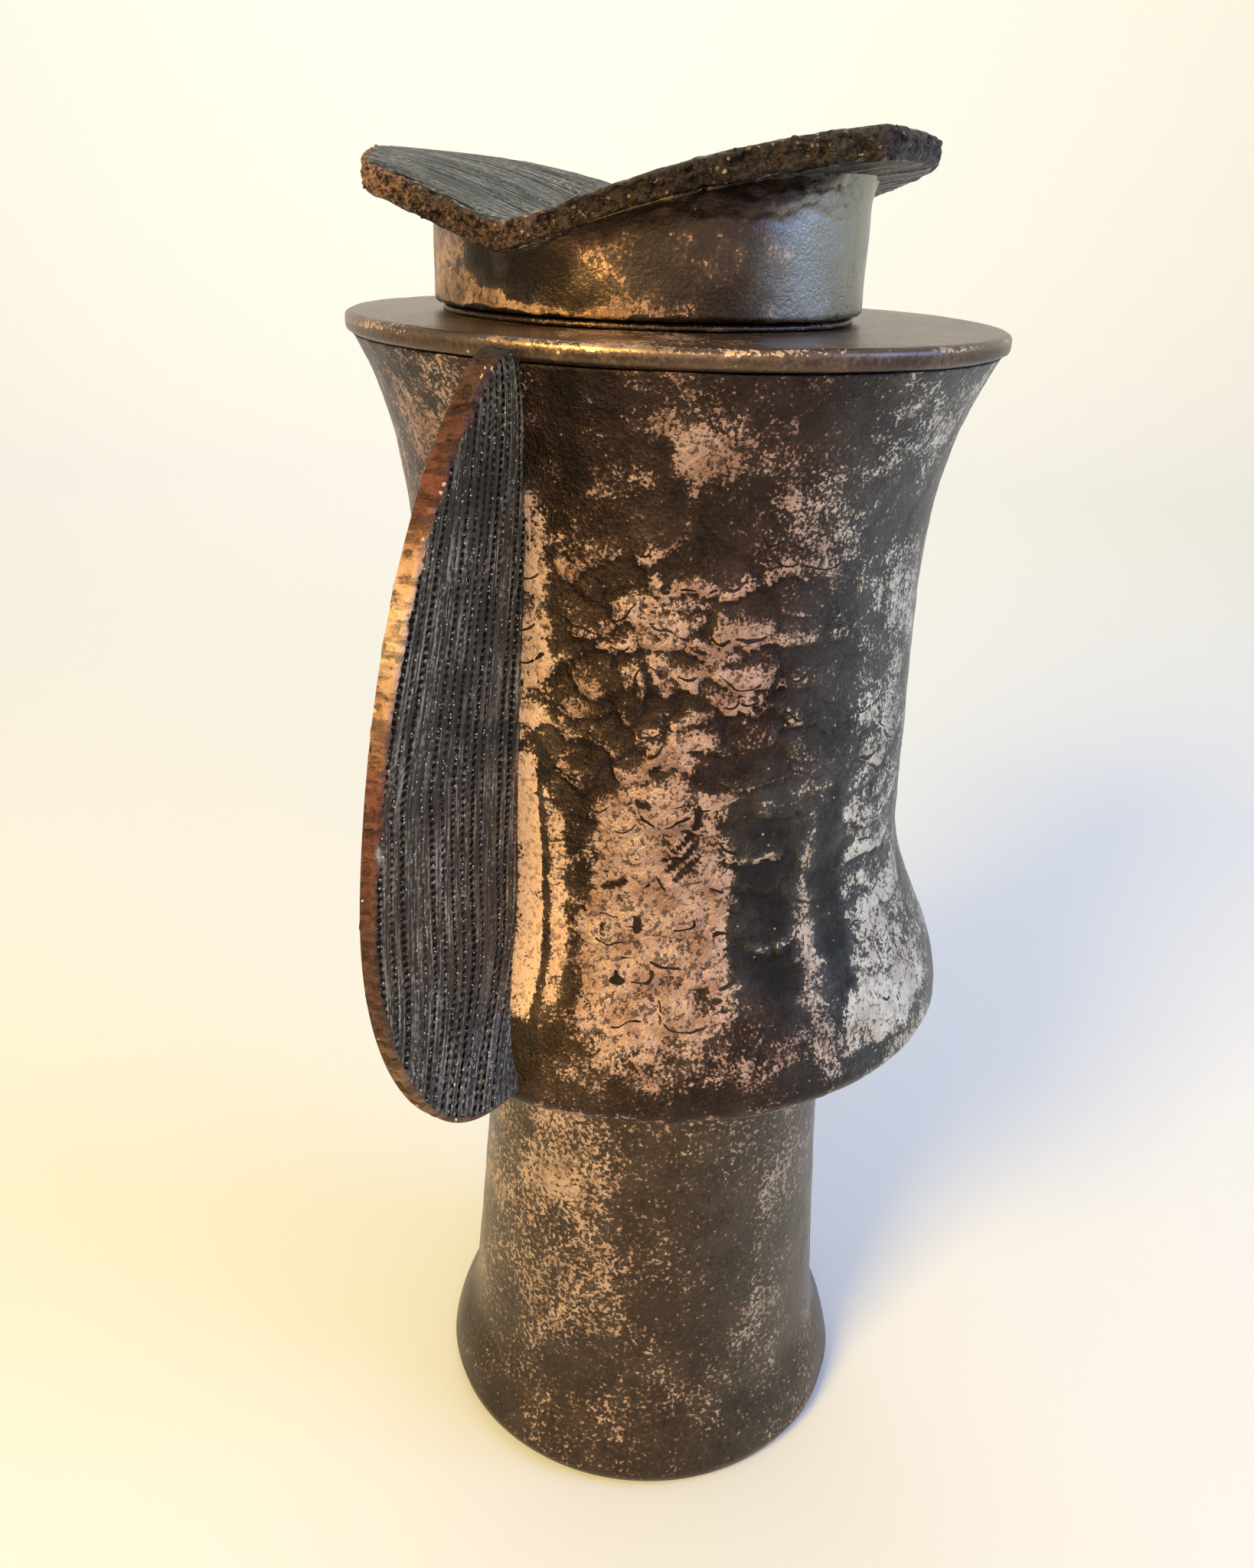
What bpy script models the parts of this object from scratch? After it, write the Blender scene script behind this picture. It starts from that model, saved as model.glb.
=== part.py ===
"""Lidded stoneware jug, slab built: a waisted body on a flared hollow foot, a flat
shoulder plate, a leaf-shaped wing handle, and a lift-off lid whose drum carries a
bent slab. Lengths are in metres, +Z is up, and the jug stands on the plane z = 0."""

import math

import bmesh
import bpy
from mathutils import Vector

# Where the upright axes stand: the foot's in the jug's frame, the others beside it
FOOT_X = 0.0035
FOOT_Y = 0.0103
BODY_SHIFT = -0.0035
LID_SHIFT = -0.0109

# Gap left wherever one fired piece seats on another
SEAT_GAP = 0.0003

# Foot: a thick coil on the table and the tapered pedestal on it. A pull sets how full
# a curve is, as a share of the curve's width and drop
COIL_HEIGHT = 0.0240
COIL_RADIUS = 0.0653
COIL_FOOT_ROUND = 0.0050
COIL_TOP_PULL = (0.41, 0.16)
COIL_FOOT_PULL = (0.16, 0.47)
PEDESTAL_HEIGHT = 0.1214
PEDESTAL_FOOT_RADIUS = 0.0580
PEDESTAL_TOP_RADIUS = 0.0515
PEDESTAL_WALL = 0.0065
COIL_LEDGE = 0.0025
COIL_BORE = PEDESTAL_FOOT_RADIUS - PEDESTAL_WALL - COIL_LEDGE
PEDESTAL_TOP_PULL = 0.30
PEDESTAL_FOOT_PULL = (0.54, 0.35)

# Body: floor slab, waisted wall and shoulder plate
FLOOR_THICKNESS = 0.0060
BODY_HEIGHT = 0.1826
BODY_WALL = 0.0065
BODY_TOP_RADIUS = 0.0806
WAIST_RADIUS = 0.0674
WAIST_HEIGHT = 0.1200
HIP_RADIUS = 0.0690
HIP_HEIGHT = 0.0585
LIP_RADIUS = 0.0866
LIP_HEIGHT = 0.0069
LIP_UNDERCUT = 0.0120
FLOOR_INSET = 0.0026
FLOOR_RADIUS = LIP_RADIUS - LIP_UNDERCUT - FLOOR_INSET
BODY_TOP_PULL = (0.69, 0.26)
WAIST_PULL = 0.45
HIP_PULL = (0.08, 0.42)
LIP_PULL = (0.14, 0.35)
SHOULDER_OVERHANG = 0.0016
SHOULDER_RADIUS = BODY_TOP_RADIUS + SHOULDER_OVERHANG
SHOULDER_THICKNESS = 0.0048
EDGE_ROUND = 0.0016

# Lid drum
LID_RADIUS = 0.0533
LID_WALL = 0.0055
LID_FOOT_ROUND = 0.0008

# Neck: a seat ring with a spigot that stands up inside the lid
NECK_SEAT_HEIGHT = 0.0013
NECK_SEAT_INSET = 0.0022
SPIGOT_HEIGHT = 0.0078
SPIGOT_WALL = 0.0068
SPIGOT_CLEARANCE = 0.0010
SPIGOT_RADIUS = LID_RADIUS - LID_WALL - SPIGOT_CLEARANCE
MOUTH_RADIUS = SPIGOT_RADIUS - SPIGOT_WALL
NECK_ROUND = 0.0009

# Lid slab: its outline in plan from the lid's axis, and its bend
SLAB_THICKNESS = 0.0074
SLAB_FRONT_LEFT = (-0.0604, -0.0450)
SLAB_FRONT_RIGHT = (0.0490, -0.0530)
SLAB_BACK_LEFT = (-0.0720, 0.0360)
SLAB_BACK_RIGHT = (0.0600, 0.0440)
SLAB_FRONT_BULGE = 0.0070
SLAB_BACK_BULGE = 0.0150
SLAB_LEFT_BULGE = 0.0020
SLAB_RIGHT_BULGE = 0.0130
SLAB_TEAR = 0.0006
SLAB_TEAR_WAVES = ((23.0, 0.0, 1.0), (41.0, 1.0, 0.6))
SLAB_EDGE_ROUND = 0.0012
VALLEY_FRONT = (-0.0311, -0.0530)
VALLEY_BACK = (0.0089, 0.0400)
VALLEY_HEIGHT = 0.0200
VALLEY_ROUND = 0.0040
LEFT_WING_RISE = 0.0165
LEFT_WING_REACH = 0.0350
RIGHT_WING_RISE = 0.0255
RIGHT_WING_REACH = 0.0640

# Wing handle: a half-leaf slab that stands out of the body, front left
WING_ANGLE = math.radians(28.6)
WING_STAND_OUT = 0.0355
WING_REACH = LIP_RADIUS + WING_STAND_OUT
WING_ROOT_THICKNESS = 0.0080
WING_EDGE_THICKNESS = 0.0053
WING_EDGE_ROUND = 0.0014
WING_HEEL_RISE = 0.0080
WING_HEEL_ROUND = 0.0429
WING_HEEL_PULL = 0.0220
WING_WIDEST_RISE = 0.0553
WING_BACK_PULL = 0.0490
WING_TIP_DROP = 0.0020
WING_TIP_OVERHANG = 0.0025
WING_TIP_PULL = (0.0110, -0.0020)
WING_BOW = 0.0094
WING_BOW_MIDDLE = 0.0797
WING_BOW_SPAN_UP = 0.1060
WING_BOW_SPAN_DOWN = 0.0640
WING_ROOT_DEPTH = 0.0120
WING_HEEL_SHARE = 0.35

# Fineness of the round and curved pieces
TURN_STEPS = 48
ARC_STEPS = 3
CURVE_STEPS = 6
SLAB_CELLS = (26, 16)
WING_CELLS = (8, 26)
SLAB_CUTTER_RISE = 0.0600
AXIS_MARK_SIZE = 0.0200

# Heights that the pieces share, from the table up
PEDESTAL_Z = COIL_HEIGHT + SEAT_GAP
FLOOR_Z = PEDESTAL_Z + PEDESTAL_HEIGHT + SEAT_GAP
BODY_Z = FLOOR_Z + FLOOR_THICKNESS + SEAT_GAP
SHOULDER_Z = BODY_Z + BODY_HEIGHT + SEAT_GAP
NECK_Z = SHOULDER_Z + SHOULDER_THICKNESS + SEAT_GAP
LID_Z = NECK_Z + NECK_SEAT_HEIGHT + SEAT_GAP


def clear_scene():
    """Remove whatever the scene holds."""
    for item in list(bpy.data.objects):
        bpy.data.objects.remove(item, do_unlink=True)


def make_collection(name):
    """New collection under the scene's own."""
    collection = bpy.data.collections.new(name)
    bpy.context.scene.collection.children.link(collection)
    return collection


def make_material(name, colour, roughness, metallic):
    """Principled material of one fired surface."""
    material = bpy.data.materials.new(name)
    material.use_nodes = True
    shader = material.node_tree.nodes["Principled BSDF"]
    shader.inputs["Base Color"].default_value = (*colour, 1.0)
    shader.inputs["Roughness"].default_value = roughness
    shader.inputs["Metallic"].default_value = metallic
    return material


def add_axis(name, place, collection, parent=None):
    """Empty that carries the pieces standing on one upright axis."""
    axis = bpy.data.objects.new(name, None)
    axis.empty_display_size = AXIS_MARK_SIZE
    axis.location = place
    axis.parent = parent
    collection.objects.link(axis)
    return axis


def add_piece(name, mesh, parent, collection, material=None):
    """Object for a mesh, placed by its parent axis."""
    item = bpy.data.objects.new(name, mesh)
    item.parent = parent
    collection.objects.link(item)
    if material:
        mesh.materials.append(material)
    return item


def as_cutter(item):
    """Mark an object as one that only shapes others."""
    item.hide_render = True
    item.display_type = "WIRE"
    return item


def arc(centre, radius, start, end):
    """Points of an arc in the radius-height plane, angles in degrees from outward."""
    points = []
    for step in range(ARC_STEPS + 1):
        angle = math.radians(start + (end - start) * step / ARC_STEPS)
        points.append((centre[0] + radius * math.cos(angle), centre[1] + radius * math.sin(angle)))
    return points


def curve_point(corners, t):
    """Point at t, from 0 to 1, of the cubic curve that four corners draw."""
    weights = ((1 - t) ** 3, 3 * t * (1 - t) ** 2, 3 * t * t * (1 - t), t ** 3)
    return tuple(sum(w * corner[i] for w, corner in zip(weights, corners)) for i in (0, 1))


def flare(top, foot, top_pull, foot_pull):
    """Line from top to foot, pulled out by shares of its width and drop at both ends."""
    width = foot[0] - top[0]
    drop = top[1] - foot[1]
    corners = (
        top,
        (top[0] + top_pull[0] * width, top[1] - top_pull[1] * drop),
        (foot[0] - foot_pull[0] * width, foot[1] + foot_pull[1] * drop),
        foot,
    )
    return [curve_point(corners, step / CURVE_STEPS) for step in range(CURVE_STEPS + 1)]


def turned(name, outline, parent, collection, material=None, closed=True):
    """Piece of revolution: the outline runs down its outer side in radius and height."""
    mesh = bpy.data.meshes.new(name)
    points = [(radius, 0.0, height) for radius, height in outline]
    edges = [(index, index + 1) for index in range(len(points) - 1)]
    if closed:
        edges.append((len(points) - 1, 0))
    mesh.from_pydata(points, edges, [])
    item = add_piece(name, mesh, parent, collection, material)
    screw = item.modifiers.new("turn", "SCREW")
    screw.steps = TURN_STEPS
    screw.render_steps = TURN_STEPS
    screw.use_merge_vertices = True
    screw.merge_threshold = 0.0001
    screw.use_smooth_shade = True
    return item


def sheet(name, cells, face, back, parent, collection, material=None):
    """Closed slab between two surfaces, each a function of u and v from 0 to 1."""
    shell = bmesh.new()
    bmesh.ops.create_grid(shell, x_segments=cells[0], y_segments=cells[1], size=0.5)
    grown = bmesh.ops.extrude_face_region(shell, geom=shell.faces[:], use_keep_orig=True)
    lifted = {part for part in grown["geom"] if isinstance(part, bmesh.types.BMVert)}
    for vert in shell.verts:
        surface = face if vert in lifted else back
        vert.co = surface(vert.co.x + 0.5, vert.co.y + 0.5)
    bmesh.ops.recalc_face_normals(shell, faces=shell.faces[:])
    bmesh.ops.triangulate(shell, faces=shell.faces[:])
    mesh = bpy.data.meshes.new(name)
    shell.to_mesh(mesh)
    shell.free()
    mesh.shade_smooth()
    mesh.set_sharp_from_angle(angle=math.radians(40))
    return add_piece(name, mesh, parent, collection, material)


def round_edges(item, width):
    """Soften the sharp edges of a slab."""
    bevel = item.modifiers.new("soft edge", "BEVEL")
    bevel.width = width
    bevel.segments = 2
    bevel.limit_method = "ANGLE"
    bevel.angle_limit = math.radians(50)


def cut(item, cutter):
    """Take the cutter's volume out of a piece."""
    boolean = item.modifiers.new("cut " + cutter.name, "BOOLEAN")
    boolean.operation = "DIFFERENCE"
    boolean.solver = "EXACT"
    boolean.object = cutter


def build_foot(axis, pieces, clay):
    """Thick coil on the table and the hollow pedestal that stands on it."""
    foot_centre = (COIL_RADIUS - COIL_FOOT_ROUND, COIL_FOOT_ROUND)
    coil = flare(
        (PEDESTAL_FOOT_RADIUS, COIL_HEIGHT),
        (COIL_RADIUS, COIL_FOOT_ROUND),
        COIL_TOP_PULL,
        COIL_FOOT_PULL,
    )
    coil += arc(foot_centre, COIL_FOOT_ROUND, 0, -90)[1:]
    coil += [(COIL_BORE + EDGE_ROUND, 0.0), (COIL_BORE, EDGE_ROUND), (COIL_BORE, COIL_HEIGHT)]
    turned("foot_coil", coil, axis, pieces, clay)

    side = flare(
        (PEDESTAL_TOP_RADIUS, PEDESTAL_Z + PEDESTAL_HEIGHT),
        (PEDESTAL_FOOT_RADIUS, PEDESTAL_Z),
        (0.0, PEDESTAL_TOP_PULL),
        PEDESTAL_FOOT_PULL,
    )
    inside = [(radius - PEDESTAL_WALL, height) for radius, height in reversed(side)]
    turned("foot_pedestal", side + inside, axis, pieces, clay)


def body_side(grow=0.0):
    """Outer line of the body wall from its top to its foot, set out by grow."""
    top = (BODY_TOP_RADIUS, BODY_HEIGHT)
    waist = (WAIST_RADIUS, WAIST_HEIGHT)
    hip = (HIP_RADIUS, HIP_HEIGHT)
    lip = (LIP_RADIUS, LIP_HEIGHT)
    line = flare(top, waist, BODY_TOP_PULL, (0.0, WAIST_PULL))
    line += flare(hip, lip, HIP_PULL, LIP_PULL)
    return [(radius + grow, BODY_Z + height) for radius, height in line]


def lip_under(grow=0.0):
    """Turned-under foot of the body wall, from the lip to the floor slab."""
    line = []
    for radius, height in arc((0.0, 0.0), 1.0, -30, -90):
        out = LIP_RADIUS - LIP_UNDERCUT * (1.0 - radius)
        line.append((out + grow, BODY_Z + LIP_HEIGHT * (1.0 + height)))
    return line


def build_body(axis, pieces, clay):
    """Floor slab and the waisted wall that stands on it."""
    floor_top = FLOOR_Z + FLOOR_THICKNESS
    rim = FLOOR_RADIUS - EDGE_ROUND
    floor = [(0.0, floor_top)]
    floor += arc((rim, floor_top - EDGE_ROUND), EDGE_ROUND, 90, 0)
    floor += arc((rim, FLOOR_Z + EDGE_ROUND), EDGE_ROUND, 0, -90)
    floor += [(0.0, FLOOR_Z)]
    turned("body_floor", floor, axis, pieces, clay, closed=False)

    side = body_side()
    inside = [(radius - BODY_WALL, height) for radius, height in reversed(side)]
    foot_inside = (LIP_RADIUS - LIP_UNDERCUT - BODY_WALL, BODY_Z)
    turned("body_wall", side + lip_under() + [foot_inside] + inside, axis, pieces, clay)


def build_shoulder(axis, lid_axis, pieces, cutters, clay):
    """Shoulder plate on the wall's top, with the mouth cut off centre below the lid."""
    plate_top = SHOULDER_Z + SHOULDER_THICKNESS
    rim = SHOULDER_RADIUS - EDGE_ROUND
    plate = [(0.0, plate_top)]
    plate += arc((rim, plate_top - EDGE_ROUND), EDGE_ROUND, 90, 0)
    plate += arc((rim, SHOULDER_Z + EDGE_ROUND), EDGE_ROUND, 0, -90)
    plate += [(0.0, SHOULDER_Z)]
    shoulder = turned("shoulder_plate", plate, axis, pieces, clay, closed=False)

    bpy.ops.mesh.primitive_cylinder_add(
        vertices=TURN_STEPS, radius=MOUTH_RADIUS, depth=4 * SHOULDER_THICKNESS
    )
    mouth = as_cutter(bpy.context.active_object)
    mouth.name = "mouth_cutter"
    mouth.location = (0.0, 0.0, SHOULDER_Z + SHOULDER_THICKNESS / 2)
    mouth.parent = lid_axis
    for collection in list(mouth.users_collection):
        collection.objects.unlink(mouth)
    cutters.objects.link(mouth)
    cut(shoulder, mouth)


def build_neck(axis, pieces, clay):
    """Seat ring for the lid with its spigot round the mouth."""
    seat_top = NECK_Z + NECK_SEAT_HEIGHT
    seat_radius = LID_RADIUS - NECK_SEAT_INSET
    spigot_top = seat_top + SPIGOT_HEIGHT
    ring = arc((SPIGOT_RADIUS - NECK_ROUND, spigot_top - NECK_ROUND), NECK_ROUND, 90, 0)
    ring += [(SPIGOT_RADIUS, seat_top)]
    ring += arc((seat_radius - NECK_ROUND, seat_top - NECK_ROUND), NECK_ROUND, 90, 0)
    ring += [(seat_radius, NECK_Z), (MOUTH_RADIUS, NECK_Z)]
    ring += arc((MOUTH_RADIUS + NECK_ROUND, spigot_top - NECK_ROUND), NECK_ROUND, 180, 90)
    turned("neck_ring", ring, axis, pieces, clay)


def wing_outline(v):
    """Outer line of the wing at v, from its heel (0) to its tip (1): radius, height."""
    heel = (LIP_RADIUS, BODY_Z + WING_HEEL_RISE)
    widest = (WING_REACH, BODY_Z + WING_WIDEST_RISE)
    tip_height = SHOULDER_Z + SHOULDER_THICKNESS - WING_TIP_DROP
    tip = (SHOULDER_RADIUS + WING_TIP_OVERHANG, tip_height)
    if v < WING_HEEL_SHARE:
        low_pull = (heel[0] + WING_HEEL_PULL, heel[1])
        high_pull = (widest[0], widest[1] - WING_HEEL_ROUND)
        return curve_point((heel, low_pull, high_pull, widest), v / WING_HEEL_SHARE)
    low_pull = (widest[0], widest[1] + WING_BACK_PULL)
    high_pull = (tip[0] + WING_TIP_PULL[0], tip[1] + WING_TIP_PULL[1])
    share = (v - WING_HEEL_SHARE) / (1 - WING_HEEL_SHARE)
    return curve_point((widest, low_pull, high_pull, tip), share)


def wing_point(u, v, side):
    """Point of the wing: u from root to edge, v from heel to tip, side 0 right, 1 left."""
    reach, height = wing_outline(v)
    root = WAIST_RADIUS - WING_ROOT_DEPTH
    root_low = BODY_Z + WING_HEEL_RISE
    root_high = SHOULDER_Z + SHOULDER_THICKNESS - WING_TIP_DROP
    root_height = root_low + (root_high - root_low) * v
    distance = root + (reach - root) * u
    level = root_height + (height - root_height) * u
    above = level - BODY_Z - WING_BOW_MIDDLE
    span = WING_BOW_SPAN_UP if above > 0 else WING_BOW_SPAN_DOWN
    bow = WING_BOW * abs(above / span) ** 3
    taper = min(max((distance - WAIST_RADIUS) / (WING_REACH - WAIST_RADIUS), 0.0), 1.0)
    thickness = WING_ROOT_THICKNESS + (WING_EDGE_THICKNESS - WING_ROOT_THICKNESS) * taper
    across = bow - thickness * side
    outward = Vector((-math.sin(WING_ANGLE), -math.cos(WING_ANGLE), 0.0))
    rightward = Vector((math.cos(WING_ANGLE), -math.sin(WING_ANGLE), 0.0))
    return outward * distance + rightward * across + Vector((0.0, 0.0, level))


def build_wing(axis, pieces, cutters, clay):
    """Wing handle, its root cut to the body wall and to the shoulder plate's rim."""
    wing = sheet(
        "wing_handle",
        WING_CELLS,
        lambda u, v: wing_point(u, v, 0),
        lambda u, v: wing_point(u, v, 1),
        axis,
        pieces,
        clay,
    )
    round_edges(wing, WING_EDGE_ROUND)
    rim = SHOULDER_RADIUS + SEAT_GAP
    seat = [(0.0, NECK_Z + EDGE_ROUND), (rim, NECK_Z + EDGE_ROUND), (rim, SHOULDER_Z - SEAT_GAP)]
    seat += body_side(grow=SEAT_GAP) + lip_under(grow=SEAT_GAP)
    seat += [(0.0, BODY_Z)]
    cut(wing, as_cutter(turned("wing_seat_cutter", seat, axis, cutters, closed=False)))


def slab_plan(u, v):
    """Plan position on the lid slab: u from left to right, v from front to back."""
    swell_u = 4 * u * (1 - u)
    swell_v = 4 * v * (1 - v)
    left = SLAB_FRONT_LEFT[0] + (SLAB_BACK_LEFT[0] - SLAB_FRONT_LEFT[0]) * v
    right = SLAB_FRONT_RIGHT[0] + (SLAB_BACK_RIGHT[0] - SLAB_FRONT_RIGHT[0]) * v
    front = SLAB_FRONT_LEFT[1] + (SLAB_FRONT_RIGHT[1] - SLAB_FRONT_LEFT[1]) * u
    back = SLAB_BACK_LEFT[1] + (SLAB_BACK_RIGHT[1] - SLAB_BACK_LEFT[1]) * u
    left -= SLAB_LEFT_BULGE * swell_v
    right += SLAB_RIGHT_BULGE * swell_v
    front -= SLAB_FRONT_BULGE * swell_u
    back += SLAB_BACK_BULGE * swell_u
    waves = (size * math.sin(rate * u + start) for rate, start, size in SLAB_TEAR_WAVES)
    torn = SLAB_TEAR * sum(waves) * (1 - v)
    return left + (right - left) * u, front + torn + (back - front) * v


def slab_height(x, y):
    """Height of the lid slab's top above the drum's foot: two wings off one valley."""
    start = Vector(VALLEY_FRONT)
    along = (Vector(VALLEY_BACK) - start).normalized()
    offset = Vector((x, y)) - start
    across = offset.x * along.y - offset.y * along.x
    run = math.sqrt(across ** 2 + VALLEY_ROUND ** 2) - VALLEY_ROUND
    if across < 0:
        return VALLEY_HEIGHT + LEFT_WING_RISE * math.tanh(run / LEFT_WING_REACH)
    return VALLEY_HEIGHT + RIGHT_WING_RISE * math.tanh(run / RIGHT_WING_REACH)


def slab_point(u, v, lift):
    """Point at a height above the slab's top surface."""
    x, y = slab_plan(u, v)
    return Vector((x, y, LID_Z + slab_height(x, y) + lift))


def build_lid(axis, pieces, cutters, drum_clay, slab_clay):
    """Drum that drops over the spigot, cut on top to the bent slab it carries."""
    slab = sheet(
        "lid_slab",
        SLAB_CELLS,
        lambda u, v: slab_point(u, v, 0.0),
        lambda u, v: slab_point(u, v, -SLAB_THICKNESS),
        axis,
        pieces,
        slab_clay,
    )
    round_edges(slab, SLAB_EDGE_ROUND)

    top = LID_Z + VALLEY_HEIGHT + RIGHT_WING_RISE
    bore = LID_RADIUS - LID_WALL
    drum = [(LID_RADIUS, top), (LID_RADIUS, LID_Z + LID_FOOT_ROUND)]
    drum += [(LID_RADIUS - LID_FOOT_ROUND, LID_Z), (bore + LID_FOOT_ROUND, LID_Z)]
    drum += [(bore, LID_Z + LID_FOOT_ROUND), (bore, top)]
    collar = turned("lid_drum", drum, axis, pieces, drum_clay)
    cutter = sheet(
        "slab_cutter",
        SLAB_CELLS,
        lambda u, v: slab_point(u, v, SLAB_CUTTER_RISE),
        lambda u, v: slab_point(u, v, -SLAB_THICKNESS - SEAT_GAP),
        axis,
        cutters,
    )
    cut(collar, as_cutter(cutter))


def main():
    clear_scene()
    pieces = make_collection("lidded_jug")
    cutters = make_collection("lidded_jug_cutters")

    foot_clay = make_material("foot_clay", (0.23, 0.15, 0.10), 0.42, 0.35)
    body_clay = make_material("body_clay", (0.25, 0.13, 0.07), 0.45, 0.40)
    shoulder_clay = make_material("shoulder_clay", (0.16, 0.10, 0.075), 0.40, 0.35)
    neck_clay = make_material("neck_clay", (0.18, 0.13, 0.10), 0.45, 0.30)
    wing_clay = make_material("wing_clay", (0.05, 0.05, 0.052), 0.50, 0.30)
    drum_clay = make_material("drum_clay", (0.26, 0.17, 0.12), 0.36, 0.45)
    slab_clay = make_material("slab_clay", (0.12, 0.11, 0.11), 0.55, 0.35)

    jug_axis = add_axis("jug_axis", (FOOT_X, FOOT_Y, 0.0), pieces)
    body_axis = add_axis("body_axis", (BODY_SHIFT, 0.0, 0.0), pieces, jug_axis)
    lid_axis = add_axis("lid_axis", (LID_SHIFT, 0.0, 0.0), pieces, jug_axis)

    build_foot(jug_axis, pieces, foot_clay)
    build_body(body_axis, pieces, body_clay)
    build_shoulder(body_axis, lid_axis, pieces, cutters, shoulder_clay)
    build_neck(lid_axis, pieces, neck_clay)
    build_wing(body_axis, pieces, cutters, wing_clay)
    build_lid(lid_axis, pieces, cutters, drum_clay, slab_clay)


main()
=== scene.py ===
"""Lidded stoneware jug, slab built and fired under a dark metallic oxide wash. The file
follows the jug from the table up, one section for each piece. Lengths are in metres, and
an angle round a piece is 0 at the front and grows to the right, in degrees."""

import math

import bmesh
import bpy
import numpy as np
from mathutils import Matrix, Vector, noise


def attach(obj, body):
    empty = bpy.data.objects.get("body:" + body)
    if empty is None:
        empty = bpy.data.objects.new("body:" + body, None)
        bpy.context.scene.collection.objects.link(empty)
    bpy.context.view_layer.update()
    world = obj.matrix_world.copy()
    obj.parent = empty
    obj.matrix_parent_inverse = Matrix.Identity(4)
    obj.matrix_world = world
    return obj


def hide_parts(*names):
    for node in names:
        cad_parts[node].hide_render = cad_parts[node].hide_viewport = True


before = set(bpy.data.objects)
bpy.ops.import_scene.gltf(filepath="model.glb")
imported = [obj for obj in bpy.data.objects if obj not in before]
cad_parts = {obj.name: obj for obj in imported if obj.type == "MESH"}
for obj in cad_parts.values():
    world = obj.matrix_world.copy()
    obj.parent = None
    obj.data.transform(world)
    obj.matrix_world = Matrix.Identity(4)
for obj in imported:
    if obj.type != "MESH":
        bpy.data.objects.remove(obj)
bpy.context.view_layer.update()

# Foot: a thick coil of stoneware on the table, pulled up smoothly into a tapered, hollow
# pedestal. Brown oxide wash, rubbed back to a gold and copper lustre in small specks.
FOOT_AXIS = (0.0035, 0.0103)
FOOT_TOP = 0.1457
FOOT_TOP_RADIUS = 0.0515
FOOT_BULGE = (0.0653, 0.0050)
FOOT_BORE = 0.0490
FOOT_COIL_TOP = 0.0240
FOOT_LOW = 0.0003
THUMB_STRAY = 2.2
THUMB_REACH = 0.44
THUMB_CREASE_SHADE_RELIEF = -2.2
TOUCH_POWER = 2.6
NOISE_SEED = 3


def curve(corners, count):
    """Points along the cubic that four corners draw, as radius and height."""
    t = np.linspace(0.0, 1.0, count)[:, None]
    a, b, c, d = (np.array(corner, float) for corner in corners)
    return (1 - t) ** 3 * a + 3 * t * (1 - t) ** 2 * b + 3 * t * t * (1 - t) * c + t ** 3 * d


def joined(*lines):
    """One line from several, without the points that repeat."""
    line = np.vstack([np.atleast_2d(np.array(part, float)) for part in lines])
    step = np.linalg.norm(np.diff(line, axis=0), axis=1)
    return line[np.concatenate([[True], step > 1e-6])]


def spaced(line, step, ease=0):
    """The line with its points a step apart, its corners eased by so many rounds."""
    along = np.concatenate([[0.0], np.cumsum(np.linalg.norm(np.diff(line, axis=0), axis=1))])
    places = np.linspace(0.0, along[-1], max(2, round(along[-1] / step) + 1))
    points = np.column_stack([np.interp(places, along, line[:, i]) for i in range(2)])
    for _ in range(ease):
        points[1:-1] = (points[:-2] + 2 * points[1:-1] + points[2:]) / 4
    return points


class Signal:
    """What a node puts out. Sums and products of signals build math nodes in their tree."""

    def __init__(self, socket):
        self.socket, self.tree = socket, socket.id_data

    def __add__(self, other):
        return calc("ADD", self, other)

    def __sub__(self, other):
        return calc("SUBTRACT", self, other)

    def __rsub__(self, other):
        return calc("SUBTRACT", other, self)

    def __mul__(self, other):
        return calc("MULTIPLY", self, other)

    def __truediv__(self, other):
        return calc("DIVIDE", self, other)

    def __rtruediv__(self, other):
        return calc("DIVIDE", other, self)

    def __neg__(self):
        return calc("MULTIPLY", self, -1.0)


def add_node(tree, kind, inputs=None, **settings):
    """Node with its settings, and with its inputs linked to signals or set to values."""
    made = tree.nodes.new(kind)
    for label, value in settings.items():
        setattr(made, label, value)
    for label, value in (inputs or {}).items():
        if isinstance(value, Signal):
            tree.links.new(value.socket, made.inputs[label])
        else:
            made.inputs[label].default_value = value
    return made


def signal(tree, kind, inputs=None, output=0, **settings):
    """One output of a new node."""
    return Signal(add_node(tree, kind, inputs, **settings).outputs[output])


def tree_of(*terms):
    """The node tree that the signals among some terms belong to."""
    return next(term.tree for term in terms if isinstance(term, Signal))


def calc(operation, *terms, clamp=False):
    """Result of one math node on signals or numbers."""
    inputs = dict(enumerate(terms))
    settings = {"operation": operation, "use_clamp": clamp}
    return signal(tree_of(*terms), "ShaderNodeMath", inputs, **settings)


def vector_calc(operation, *terms):
    """Vector result of one vector math node."""
    inputs = dict(enumerate(terms))
    return signal(tree_of(*terms), "ShaderNodeVectorMath", inputs, operation=operation)


def split(vector):
    """The three parts of a vector."""
    parts = add_node(vector.tree, "ShaderNodeSeparateXYZ", {0: vector}).outputs
    return [Signal(part) for part in parts]


def combine(east, north, up):
    """Vector of three parts."""
    return signal(tree_of(east, north, up), "ShaderNodeCombineXYZ", {0: east, 1: north, 2: up})


def step_between(value, low, high):
    """0 below low, 1 above high, and smooth between."""
    inputs = {"Value": value, "From Min": low, "From Max": high}
    settings = {"interpolation_type": "SMOOTHSTEP"}
    return signal(value.tree, "ShaderNodeMapRange", inputs, "Result", **settings)


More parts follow.
